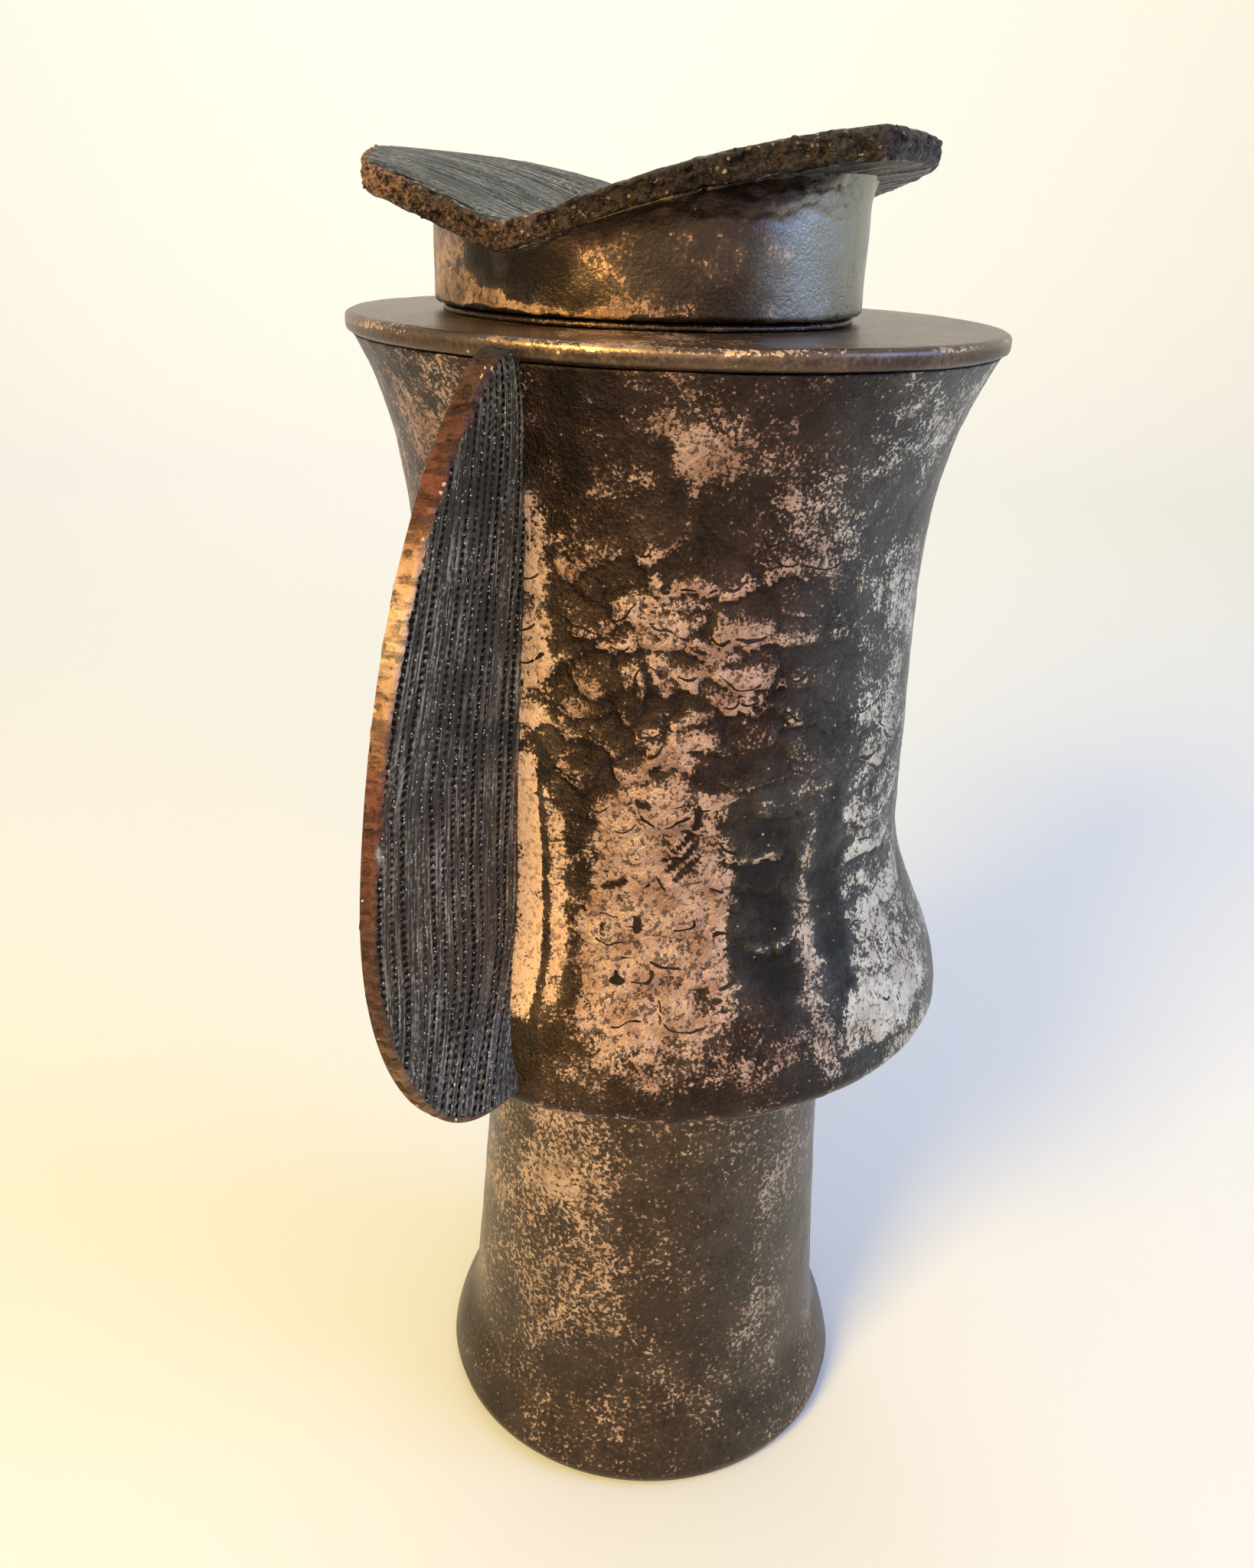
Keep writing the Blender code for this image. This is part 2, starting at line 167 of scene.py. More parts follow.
def blend(factor, first, second):
    """Colour between two colours."""
    tree = tree_of(factor, first, second)
    inputs = {"Factor": factor, 6: first, 7: second}
    return signal(tree, "ShaderNodeMix", inputs, 2, data_type="RGBA")


def cloud(place, scale, detail, roughness=0.5):
    """Noise from 0 to 1, with so many swells to the metre and finer ones in them."""
    inputs = {"Vector": place, "Scale": scale, "Detail": detail, "Roughness": roughness}
    return signal(place.tree, "ShaderNodeTexNoise", inputs)


def swell(place, seed, size, detail, output=0):
    """Noise of a size, set by a seed: one number, or three as the output 1."""
    inputs = {"Vector": place, "W": seed, "Scale": 1.0 / size, "Detail": detail}
    return signal(place.tree, "ShaderNodeTexNoise", inputs, output, noise_dimensions="4D")


def grains(place, scale, share):
    """Grains, so many to the metre: 1 in a chosen share of them and 0 in the others, and
    the distance from a grain's middle."""
    cells = add_node(place.tree, "ShaderNodeTexVoronoi", {"Vector": place, "Scale": scale})
    colour = Signal(cells.outputs["Color"])
    number = signal(place.tree, "ShaderNodeSeparateColor", {0: colour})
    return calc("LESS_THAN", number, share), Signal(cells.outputs["Distance"])


def link_out(sockets, signals):
    """Link each signal to the socket of its name."""
    for label, value in signals.items():
        value.tree.links.new(value.socket, sockets[label])


def socket_kind(value):
    """Kind of the socket that takes a value, which can also be the kind's own short name."""
    if isinstance(value, tuple):
        return "NodeSocketVector" if len(value) == 3 else "NodeSocketColor"
    names = {str: value, int: "Int", float: "Float"}
    return f"NodeSocket{names[type(value)]}"


def new_tree(name, kind, inputs, outputs):
    """Node group, its inputs as signals by name, and its output sockets."""
    tree = bpy.data.node_groups.new(name, kind)
    for label, value in outputs.items():
        tree.interface.new_socket(label, in_out="OUTPUT", socket_type=socket_kind(value))
    for label, value in inputs.items():
        socket_type = socket_kind(value)
        socket = tree.interface.new_socket(label, in_out="INPUT", socket_type=socket_type)
        if not isinstance(value, str):
            socket.default_value = value
    sockets = tree.nodes.new("NodeGroupInput").outputs
    given = {label: Signal(sockets[label]) for label in inputs}
    return tree, given, tree.nodes.new("NodeGroupOutput").inputs


def clay_tree(name, inputs):
    """Geometry node group that shapes a piece of clay, as new_tree gives it."""
    inputs = {"Piece": "Geometry", **inputs, "Clay": "Material"}
    return new_tree(name, "GeometryNodeTree", inputs, {"Geometry": "Geometry"})


def end_piece(piece, given, result):
    """End of a geometry node group: the piece as a mesh of its own, in its clay."""
    tree = piece.tree
    piece = signal(tree, "GeometryNodeRealizeInstances", {0: piece})
    inputs = {0: piece, "Material": given["Clay"]}
    link_out(result, {"Geometry": signal(tree, "GeometryNodeSetMaterial", inputs)})
    return tree


def vertex_value(tree, label):
    """The number that a piece keeps for each vertex, in a geometry node group."""
    return signal(tree, "GeometryNodeInputNamedAttribute", {"Name": label})


def storing(piece, label, value):
    """The piece with a number kept for each vertex, in a geometry node group."""
    inputs = {0: piece, "Name": label, "Value": value}
    settings = {"data_type": "FLOAT", "domain": "POINT"}
    return signal(piece.tree, "GeometryNodeStoreNamedAttribute", inputs, **settings)


def pushed(piece, depth):
    """The piece with its points moved along their normals, and shaded smooth."""
    tree = piece.tree
    inputs = {0: signal(tree, "GeometryNodeInputNormal"), "Scale": depth}
    offset = signal(tree, "ShaderNodeVectorMath", inputs, operation="SCALE")
    piece = signal(tree, "GeometryNodeSetPosition", {0: piece, "Offset": offset})
    return signal(tree, "GeometryNodeSetShadeSmooth", {0: piece})


def turned_wall_tree():
    """Geometry nodes that turn an outline, in radius and height, about an upright axis."""
    tree, given, result = clay_tree("turned wall", {
        "Axis": (0.0, 0.0, 0.0),
        "Turn steps": 180,
        "Crowding": 0.0,
        "Crowded angle": 0.0,
    })
    outline = {"Geometry": given["Piece"]}
    rows = signal(tree, "GeometryNodeAttributeDomainSize", outline, "Point Count")
    cells = {"Vertices X": given["Turn steps"] + 1.0, "Vertices Y": rows}
    grid = add_node(tree, "GeometryNodeMeshGrid", cells)
    around, along, _ = split(Signal(grid.outputs["UV Map"]))
    outline["Value"] = signal(tree, "GeometryNodeInputPosition")
    outline["Index"] = calc("ROUND", along * (rows - 1.0))
    settings = {"data_type": "FLOAT_VECTOR"}
    point = signal(tree, "GeometryNodeSampleIndex", outline, "Value", **settings)
    radius, _, height = split(point)
    turn = around * (2 * math.pi)
    lag = calc("SINE", turn - calc("RADIANS", given["Crowded angle"]))
    turn = turn - lag * given["Crowding"]
    placed = combine(radius * calc("SINE", turn), -(radius * calc("COSINE", turn)), height)
    placed = vector_calc("ADD", placed, given["Axis"])
    inputs = {0: Signal(grid.outputs["Mesh"]), "Position": placed}
    wall = signal(tree, "GeometryNodeSetPosition", inputs)
    wall = signal(tree, "GeometryNodeMergeByDistance", {0: wall, "Distance": 1e-5})
    return end_piece(wall, given, result)


def thumb_cells(place, cell_size, loosened):
    """Cells of thumb prints: height above a cell's middle, distance to its rim and distance
    from its middle, as shares of a cell. Loosened is a noise that keeps them out of rows."""
    stray = vector_calc("MULTIPLY", loosened, (THUMB_STRAY,) * 3)
    spot = vector_calc("ADD", vector_calc("DIVIDE", place, cell_size), stray)
    inputs = {"Vector": spot, "Scale": 1.0}
    cells = add_node(place.tree, "ShaderNodeTexVoronoi", inputs)
    settings = {"feature": "DISTANCE_TO_EDGE"}
    rim = signal(place.tree, "ShaderNodeTexVoronoi", inputs, "Distance", **settings)
    offset = vector_calc("SUBTRACT", spot, Signal(cells.outputs["Position"]))
    return split(offset)[2], rim, Signal(cells.outputs["Distance"])


def worked_clay_tree():
    """Geometry nodes that dent and grain a clay surface by hand, and press rows of thumbed
    scales into it where the vertex value 'tooled' says. The vertex value 'relief' keeps
    how far each point stands out, for the wear of the oxide."""
    tree, given, result = clay_tree("worked clay", {
        "Dent size": 0.012,
        "Dent depth": 0.0006,
        "Grain size": 0.003,
        "Grain depth": 0.00015,
        "Scale size": (0.012, 0.012, 0.006),
        "Scale depth": 0.0005,
        "Seed": 0.0,
    })
    position = signal(tree, "GeometryNodeInputPosition")
    dent = swell(position, given["Seed"], given["Dent size"], 1.0) - 0.5
    grain = swell(position, given["Seed"], given["Grain size"], 3.0) - 0.5
    loosened = swell(position, given["Seed"], given["Dent size"], 2.0, 1)
    above, rim, _ = thumb_cells(position, given["Scale size"], loosened)
    crease = step_between(rim, 0.0, 0.12) - 1.0
    scale = (-above + crease * 0.45) * vertex_value(tree, "tooled")
    depth = (dent - 0.12) * given["Dent depth"] + grain * given["Grain depth"]
    depth = (depth + scale * given["Scale depth"]) * (1.0 - vertex_value(tree, "calm"))
    relief = dent * 1.2 + scale + grain * 0.5
    return end_piece(pushed(storing(given["Piece"], "relief", relief), depth), given, result)


def shaped(item, tree, **values):
    """The object's mesh, worked by a geometry node tree into a plain mesh of its own."""
    modifier = item.modifiers.new(tree.name, "NODES")
    modifier.node_group = tree
    for socket in tree.interface.items_tree:
        label = socket.name.lower().replace(" ", "_")
        if socket.in_out == "INPUT" and label in values:
            modifier[socket.identifier] = values[label]
    graph = bpy.context.evaluated_depsgraph_get()
    mesh = bpy.data.meshes.new_from_object(item.evaluated_get(graph))
    item.modifiers.clear()
    item.data = mesh
    return item


def outward(item, weld=0.0):
    """Turn the faces of a closed piece outwards, and merge its points nearer than the weld."""
    shell = bmesh.new()
    shell.from_mesh(item.data)
    if weld:
        bmesh.ops.remove_doubles(shell, verts=shell.verts[:], dist=weld)
    bmesh.ops.recalc_face_normals(shell, faces=shell.faces[:])
    shell.to_mesh(item.data)
    shell.free()
    return item


def new_piece(name, points, edges=(), faces=()):
    """Object with a mesh of its own, in the scene."""
    mesh = bpy.data.meshes.new(name)
    mesh.from_pydata([tuple(point) for point in points], edges, faces)
    item = bpy.data.objects.new(name, mesh)
    bpy.context.scene.collection.objects.link(item)
    return item


def turned(name, outline, axis, steps, clay, crowding=0.0, crowded_angle=0.0):
    """Closed piece of revolution from an outline in radius and height."""
    points = [(radius, 0.0, height) for radius, height in outline]
    edges = [(index, index + 1) for index in range(len(points) - 1)]
    crowd = {"crowding": crowding, "crowded_angle": crowded_angle}
    values = {"axis": (*axis, 0.0), "turn_steps": steps, **crowd, "clay": clay}
    return outward(shaped(new_piece(name, points, edges), turned_wall, **values))


def places(item):
    """The vertices' places as an array."""
    values = np.empty(len(item.data.vertices) * 3)
    item.data.vertices.foreach_get("co", values)
    return values.reshape(-1, 3)


def wander(points, size, seed):
    """Slow noise from -1 to 1 at each point, in three directions."""
    shift = Vector((seed, 2.7 * seed, -seed))
    return np.array([noise.noise_vector(Vector(point) / size + shift) for point in points])


def keep(item, label, values):
    """Store a number for each vertex, which the clay's nodes and finish read by its name."""
    layer = item.data.attributes.get(label) or item.data.attributes.new(label, "FLOAT", "POINT")
    layer.data.foreach_set("value", np.ascontiguousarray(values, dtype=np.float32))


def turned_place(item, axis, stray=(0.0, 0.0), seed=1.0):
    """Angle in degrees and height of each vertex round an axis, strayed by slow noise."""
    points = places(item)
    angle = np.degrees(np.arctan2(points[:, 0] - axis[0], axis[1] - points[:, 1]))
    loose = wander(points, 0.013, seed) + 0.8 * wander(points, 0.004, seed + 3.0)
    return angle + stray[0] * loose[:, 0], points[:, 2] + stray[1] * loose[:, 1]


def brushed(place, ground, touches):
    """Ground value with soft-edged touches laid over it in turn. A touch is its angle and
    height, its half width in degrees and half height, its value and its softness."""
    angle, height = place
    value = np.full(len(angle), float(ground))
    for centre, level, wide, tall, strength, soft in touches:
        turn = (angle - centre + 180.0) % 360.0 - 180.0
        aside, above = np.abs(turn / wide), np.abs((height - level) / tall)
        reach = (aside ** TOUCH_POWER + above ** TOUCH_POWER) ** (1 / TOUCH_POWER)
        cover = np.clip((1.0 + soft - reach) / (2.0 * soft), 0.0, 1.0)
        cover = cover * cover * (3.0 - 2.0 * cover)
        value += (strength - value) * cover
    return value


def drawn(place, value, strokes, radius):
    """The value with strokes drawn over it. A stroke is its half width in metres, its value
    and the angles and heights it passes through, on a wall of about the given radius."""
    east, height = np.radians(place[0]) * radius, place[1]
    for half_width, strength, *path in strokes:
        near = np.full(len(east), 1.0)
        for (angle, low), (next_angle, high) in zip(path, path[1:]):
            start = np.array((math.radians(angle) * radius, low))
            way = np.array((math.radians(next_angle) * radius, high)) - start
            along = ((east - start[0]) * way[0] + (height - start[1]) * way[1]) / (way @ way)
            along = np.clip(along, 0.0, 1.0)
            gap = np.hypot(east - start[0] - along * way[0], height - start[1] - along * way[1])
            near = np.minimum(near, gap)
        cover = np.clip(1.35 - 0.6 * near / half_width, 0.0, 1.0)
        value = value + (strength - value) * cover * cover * (3.0 - 2.0 * cover)
    return value


def fired_surface_group():
    """Shader group: a dark oxide wash that is rubbed through to a metallic lustre. Worn
    runs from 0, all oxide, to 1, all lustre. A painted highlight brightens the lustre and takes
    some of its metal away, and the cool input paints the cool light of the right side, with a
    paler tone, into both oxide and lustre."""
    inputs = {
        "Vector": "Vector",
        "Worn": 0.5,
        "Relief": 0.0,
        "Cool": 0.0,
        "Polish": 0.0,
        "Patch size": 0.006,
        "Patch weight": 2.6,
        "Speckle size": 0.0009,
        "Speckle weight": 2.2,
        "Relief weight": 1.2,
        "Fleck size": 0.0016,
        "Fleck share": 0.1,
        "Faded share": 0.12,
        "Oxide": (0.03, 0.018, 0.011, 1.0),
        "Cool oxide": (0.045, 0.048, 0.048, 1.0),
        "Lustre": (0.66, 0.36, 0.22, 1.0),
        "Deep lustre": (0.40, 0.20, 0.12, 1.0),
        "Cool lustre": (0.50, 0.48, 0.42, 1.0),
        "Polished lustre": (1.0, 0.60, 0.34, 1.0),
    }
    outputs = {"Color": "Color", "Metallic": "Float", "Roughness": "Float", "Height": "Float"}
    tree, given, result = new_tree("fired surface", "ShaderNodeTree", inputs, outputs)
    place, cool, polish = given["Vector"], given["Cool"], given["Polish"]
    patch_size, speckle_size = given["Patch size"], given["Speckle size"]

    patch = cloud(place, 1.0 / patch_size, 6.0, 0.72) - 0.5
    speckle = cloud(place, 1.0 / speckle_size, 2.0, 0.65) - 0.5
    level = (given["Worn"] - 0.5) * 1.5 + given["Relief"] * given["Relief weight"]
    level = level + patch * given["Patch weight"] + speckle * given["Speckle weight"]
    bare = step_between(level, -0.04, 0.06)
    pepper = step_between(cloud(place, 0.53 / speckle_size, 4.0, 0.72), 0.54, 0.60)
    bare = bare * (1.0 - pepper * (polish * -0.40 + 0.85))
    chosen, distance = grains(place, 1.0 / given["Fleck size"], given["Fleck share"])
    fleck = (1.0 - step_between(distance, 0.10, 0.28)) * chosen * 0.8
    bare = calc("MAXIMUM", bare, fleck)

    tone = step_between(cloud(place, 0.6 / patch_size, 4.0, 0.62), 0.36, 0.62)
    pale = blend(0.6, given["Deep lustre"], given["Cool lustre"])
    pale = blend(tone, pale, given["Cool lustre"])
    lustre = blend(tone, given["Deep lustre"], given["Lustre"])
    # Painted highlight: the lustre turns a brighter orange where the highlight input says.
    lustre = blend(polish, lustre, given["Polished lustre"])
    # Painted cool light: on the cool side, lustre and oxide alike turn paler and greyer, partly a
    # paler tone and partly the cool light falling there.
    lustre = blend(cool, lustre, pale)
    thick = 1.0 - step_between(level, -1.5, -0.6)
    smoke = step_between(cloud(place, 0.35 / patch_size, 4.0, 0.6), 0.38, 0.68)
    faded = step_between(level, -0.45, 0.0)
    oxide = blend(cool, given["Oxide"], given["Cool oxide"])
    oxide = blend(thick * 0.6, oxide, (0.006, 0.005, 0.005, 1.0))
    oxide = blend(smoke * 0.06, oxide, lustre)
    oxide = blend(faded * given["Faded share"], oxide, lustre)
    link_out(result, {
        "Color": blend(bare, oxide, lustre),
        "Metallic": polish * -0.55 + (bare * -0.2 + 0.85),
        "Roughness": speckle * 0.35 + (bare * 0.08 + 0.33),
        "Height": speckle * 0.7 + (bare * -0.3 + patch),
    })
    return tree


def thumb_crease_shade_group():
    """Shader group: painted shade, thin dark arcs in the creases at the lower rims of the thumb
    prints. It repeats the cells that the worked clay tree presses, from the same sizes and seed."""
    tree, given, result = new_tree("thumb crease shade", "ShaderNodeTree", {
        "Vector": "Vector",
        "Tooled": 0.0,
        "Dent size": 0.018,
        "Scale size": (0.014, 0.014, 0.0085),
        "Seed": 1.0,
        "Width": 0.045,
    }, {"Line": "Float"})
    place = given["Vector"]
    loosened = swell(place, given["Seed"], given["Dent size"], 2.0, 1)
    above, _, middle = thumb_cells(place, given["Scale size"], loosened)
    line = calc("ABSOLUTE", middle - THUMB_REACH) / given["Width"]
    line = (1.0 - step_between(line, 0.2, 1.0)) * step_between(-above, 0.05, 0.25)
    broken = step_between(cloud(place, 170.0, 2.0), 0.42, 0.52)
    strength = step_between(given["Tooled"], 0.1, 0.45)
    link_out(result, {"Line": line * broken * strength})
    return tree


def new_material(name, specular):
    """Material, its node tree, its shader's inputs and the place on the piece."""
    material = bpy.data.materials.new(name)
    material.use_nodes = True
    tree = material.node_tree
    shader = tree.nodes["Principled BSDF"].inputs
    shader["Specular IOR Level"].default_value = specular
    return material, tree, shader, signal(tree, "ShaderNodeTexCoord", output="Object")


def kept_values(tree, labels):
    """Vertex values of a piece by name, in a material."""
    kind = "ShaderNodeAttribute"
    return {label: signal(tree, kind, None, "Fac", attribute_name=label) for label in labels}


def in_group(tree, group, values):
    """Outputs of a shader group with its values set, each by its input's name."""
    node = add_node(tree, "ShaderNodeGroup", node_tree=group)
    for label, value in values.items():
        socket = node.inputs[label.replace("_", " ").capitalize()]
        if isinstance(value, Signal):
            tree.links.new(value.socket, socket)
        else:
            colour = isinstance(value, tuple) and socket.type == "RGBA"
            socket.default_value = (*value, 1.0) if colour else value
    return {socket.name: Signal(socket) for socket in node.outputs}


def clay_material(name, bump=0.0004, thumbed=False, **values):
    """Fired clay whose finish reads the piece's own vertex values."""
    material, tree, shader, place = new_material(name, specular=0.3)
    kept = kept_values(tree, ("worn", "relief", "cool", "polish", "tooled"))
    tooled = kept.pop("tooled")
    # Painted shade: on a thumbed piece, the creases at the prints' lower rims are laid in as sunken
    # relief, which the finish turns dark.
    if thumbed:
        line = in_group(tree, thumb_crease_shade, {"vector": place, "tooled": tooled})["Line"]
        kept["relief"] = line * THUMB_CREASE_SHADE_RELIEF + kept["relief"]
    surface = in_group(tree, fired_surface, {"vector": place, **kept, **values})
    inputs = {"Height": surface["Height"], "Distance": bump}
    link_out(shader, {
        "Base Color": surface["Color"],
        "Metallic": surface["Metallic"],
        "Roughness": surface["Roughness"],
        "Normal": signal(tree, "ShaderNodeBump", inputs),
    })
    return material


noise.seed_set(NOISE_SEED)  # the same noise in every run
turned_wall = turned_wall_tree()
worked_clay = worked_clay_tree()
fired_surface = fired_surface_group()
thumb_crease_shade = thumb_crease_shade_group()

pedestal_top = ((FOOT_TOP_RADIUS, FOOT_TOP), (FOOT_TOP_RADIUS, 0.109))
pedestal_side = curve((*pedestal_top, (0.0545, 0.067), (0.0579, 0.0243)), 60)
coil_side = curve(((0.0580, FOOT_COIL_TOP), (0.0607, 0.0205), (0.0641, 0.0139), FOOT_BULGE), 16)
coil_round = curve((FOOT_BULGE, (0.0653, 0.0018), (0.0632, FOOT_LOW), (0.0606, FOOT_LOW)), 8)
foot_side = spaced(joined(pedestal_side, coil_side), 0.0012, ease=30)
bore_foot = (FOOT_BORE, 0.0018)
foot_under = spaced(joined(coil_round, (FOOT_BORE + 0.0016, FOOT_LOW), bore_foot), 0.0014)
foot_hollow = joined(bore_foot, (FOOT_BORE, 0.022), (0.0515, 0.026), (0.045, FOOT_TOP))
foot_inside = spaced(foot_hollow, 0.005)
foot_outline = joined(foot_side, foot_under, foot_inside, foot_side[:1])
foot_clay = clay_material(
    "foot clay",
    patch_size=0.0045,
    patch_weight=0.9,
    speckle_size=0.0013,
    speckle_weight=3.0,
    fleck_share=0.14,
    oxide=(0.050, 0.032, 0.022),
    cool_oxide=(0.060, 0.056, 0.050),
    lustre=(0.56, 0.36, 0.25),
    deep_lustre=(0.34, 0.20, 0.135),
    cool_lustre=(0.40, 0.37, 0.32),
)
foot = turned("foot", foot_outline, FOOT_AXIS, 260, foot_clay)
foot_place = turned_place(foot, FOOT_AXIS, (4.0, 0.005), 2.0)
keep(foot, "worn", brushed(foot_place, 0.26, (
    (-42, 0.088, 30, 0.050, 0.40, 0.6),
    (-32, 0.112, 16, 0.020, 0.45, 0.6),
    (2, 0.090, 12, 0.055, 0.22, 0.5),
    (26, 0.075, 10, 0.070, 0.14, 0.5),
    (50, 0.090, 14, 0.045, 0.31, 0.7),
    (-120, 0.080, 45, 0.050, 0.48, 0.6),
    (150, 0.080, 50, 0.050, 0.42, 0.6),
    (0, 0.012, 180, 0.016, 0.16, 0.4),
    (-20, 0.027, 40, 0.010, 0.28, 0.6),
)))
# Painted cool light: the right side turns paler and greyer, partly a paler tone and partly the cool
# light falling on it.
keep(foot, "cool", brushed(foot_place, 0.12, ((80, 0.07, 55, 0.2, 0.8, 0.4),)))
keep(foot, "calm", (places(foot)[:, 2] < 0.0025).astype(float))
dents = {"dent_size": 0.022, "dent_depth": 0.0011, "grain_size": 0.004, "grain_depth": 0.0002}
shaped(foot, worked_clay, **dents, scale_depth=0.0, seed=2.0, clay=foot_clay)
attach(foot, "jug")
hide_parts("foot_coil", "foot_pedestal")

# Floor: a thrown disc of the same clay inside the body, on the pedestal's top. It shows
# only through the mouth with the lid off and from under the foot, so it is left plain.
BODY_AXIS = (0.0, 0.0103)
FLOOR_RADIUS = 0.0720
FLOOR_LOW = 0.1460
FLOOR_HIGH = 0.1520
FLOOR_ROUND = 0.0016
inside_clay = clay_material(
    "inside clay",
    patch_size=0.009,
    speckle_size=0.0012,
    fleck_share=0.02,
    oxide=(0.075, 0.048, 0.034),
    cool_oxide=(0.07, 0.062, 0.055),
    lustre=(0.20, 0.125, 0.085),
    deep_lustre=(0.13, 0.085, 0.06),
    cool_lustre=(0.22, 0.20, 0.17),
)
floor_flat = FLOOR_RADIUS - FLOOR_ROUND
floor_rim = curve((
    (floor_flat, FLOOR_HIGH),
    (FLOOR_RADIUS, FLOOR_HIGH),
    (FLOOR_RADIUS, FLOOR_LOW),
    (floor_flat, FLOOR_LOW),
), 8)
floor_top = spaced(joined((0.0, FLOOR_HIGH), (floor_flat, FLOOR_HIGH)), 0.004)
floor_under = spaced(joined((floor_flat, FLOOR_LOW), (0.0, FLOOR_LOW)), 0.004)
floor_outline = joined(floor_top, floor_rim, floor_under)
body_floor = turned("floor", floor_outline, BODY_AXIS, 120, inside_clay)
keep(body_floor, "worn", np.full(len(body_floor.data.vertices), 0.4))
keep(body_floor, "calm", np.full(len(body_floor.data.vertices), 0.3))
dents = {"dent_size": 0.02, "dent_depth": 0.0008}
shaped(body_floor, worked_clay, **dents, scale_depth=0.0, seed=5.0, clay=inside_clay)
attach(body_floor, "jug")
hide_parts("body_floor")

# Body wall: one slab bent round and waisted, its lower edge turned under. Thumbed scales
# run across the front, where the black oxide is rubbed through to copper.
BODY_FOOT = 0.1523
BODY_TOP = 0.3349
BODY_WALL = 0.0065
WALL_UPPER = ((0.0806, BODY_TOP), (0.0715, 0.3187), (0.0674, 0.3004), (0.0674, 0.2723))
WALL_LOWER = ((0.0690, 0.2108), (0.0704, 0.1891), (0.0841, 0.1772), (0.0865, 0.1592))
WALL_UNDER = ((0.0865, 0.1592), (0.0865, 0.1552), (0.0810, 0.1523), (0.0746, 0.1523))
body_side = spaced(joined(curve(WALL_UPPER, 60), curve(WALL_LOWER, 60)), 0.00105, ease=40)
body_under = spaced(curve(WALL_UNDER, 20), 0.0012)
inner_lower, inner_upper = (
    curve([(radius - BODY_WALL, height) for radius, height in corners[::-1]], 12)
    for corners in (WALL_LOWER, WALL_UPPER)
)
body_inside = spaced(joined((0.0681, BODY_FOOT), inner_lower, inner_upper), 0.007)
body_outline = joined(body_side, body_under, body_inside, body_side[:1])
body_clay = clay_material(
    "body clay",
    bump=0.0008,
    thumbed=True,
    patch_size=0.0050,
    patch_weight=2.8,
    speckle_size=0.0009,
    speckle_weight=3.0,
    relief_weight=1.7,
    fleck_share=0.05,
    oxide=(0.028, 0.0155, 0.0115),
    cool_oxide=(0.050, 0.054, 0.052),
    lustre=(0.48, 0.300, 0.245),
    deep_lustre=(0.28, 0.150, 0.110),
    cool_lustre=(0.70, 0.70, 0.62),
    polished_lustre=(0.92, 0.58, 0.42),
)
body = turned("body", body_outline, BODY_AXIS, 420, body_clay, 0.45, -15.0)
body_place = turned_place(body, BODY_AXIS, (2.2, 0.0035))
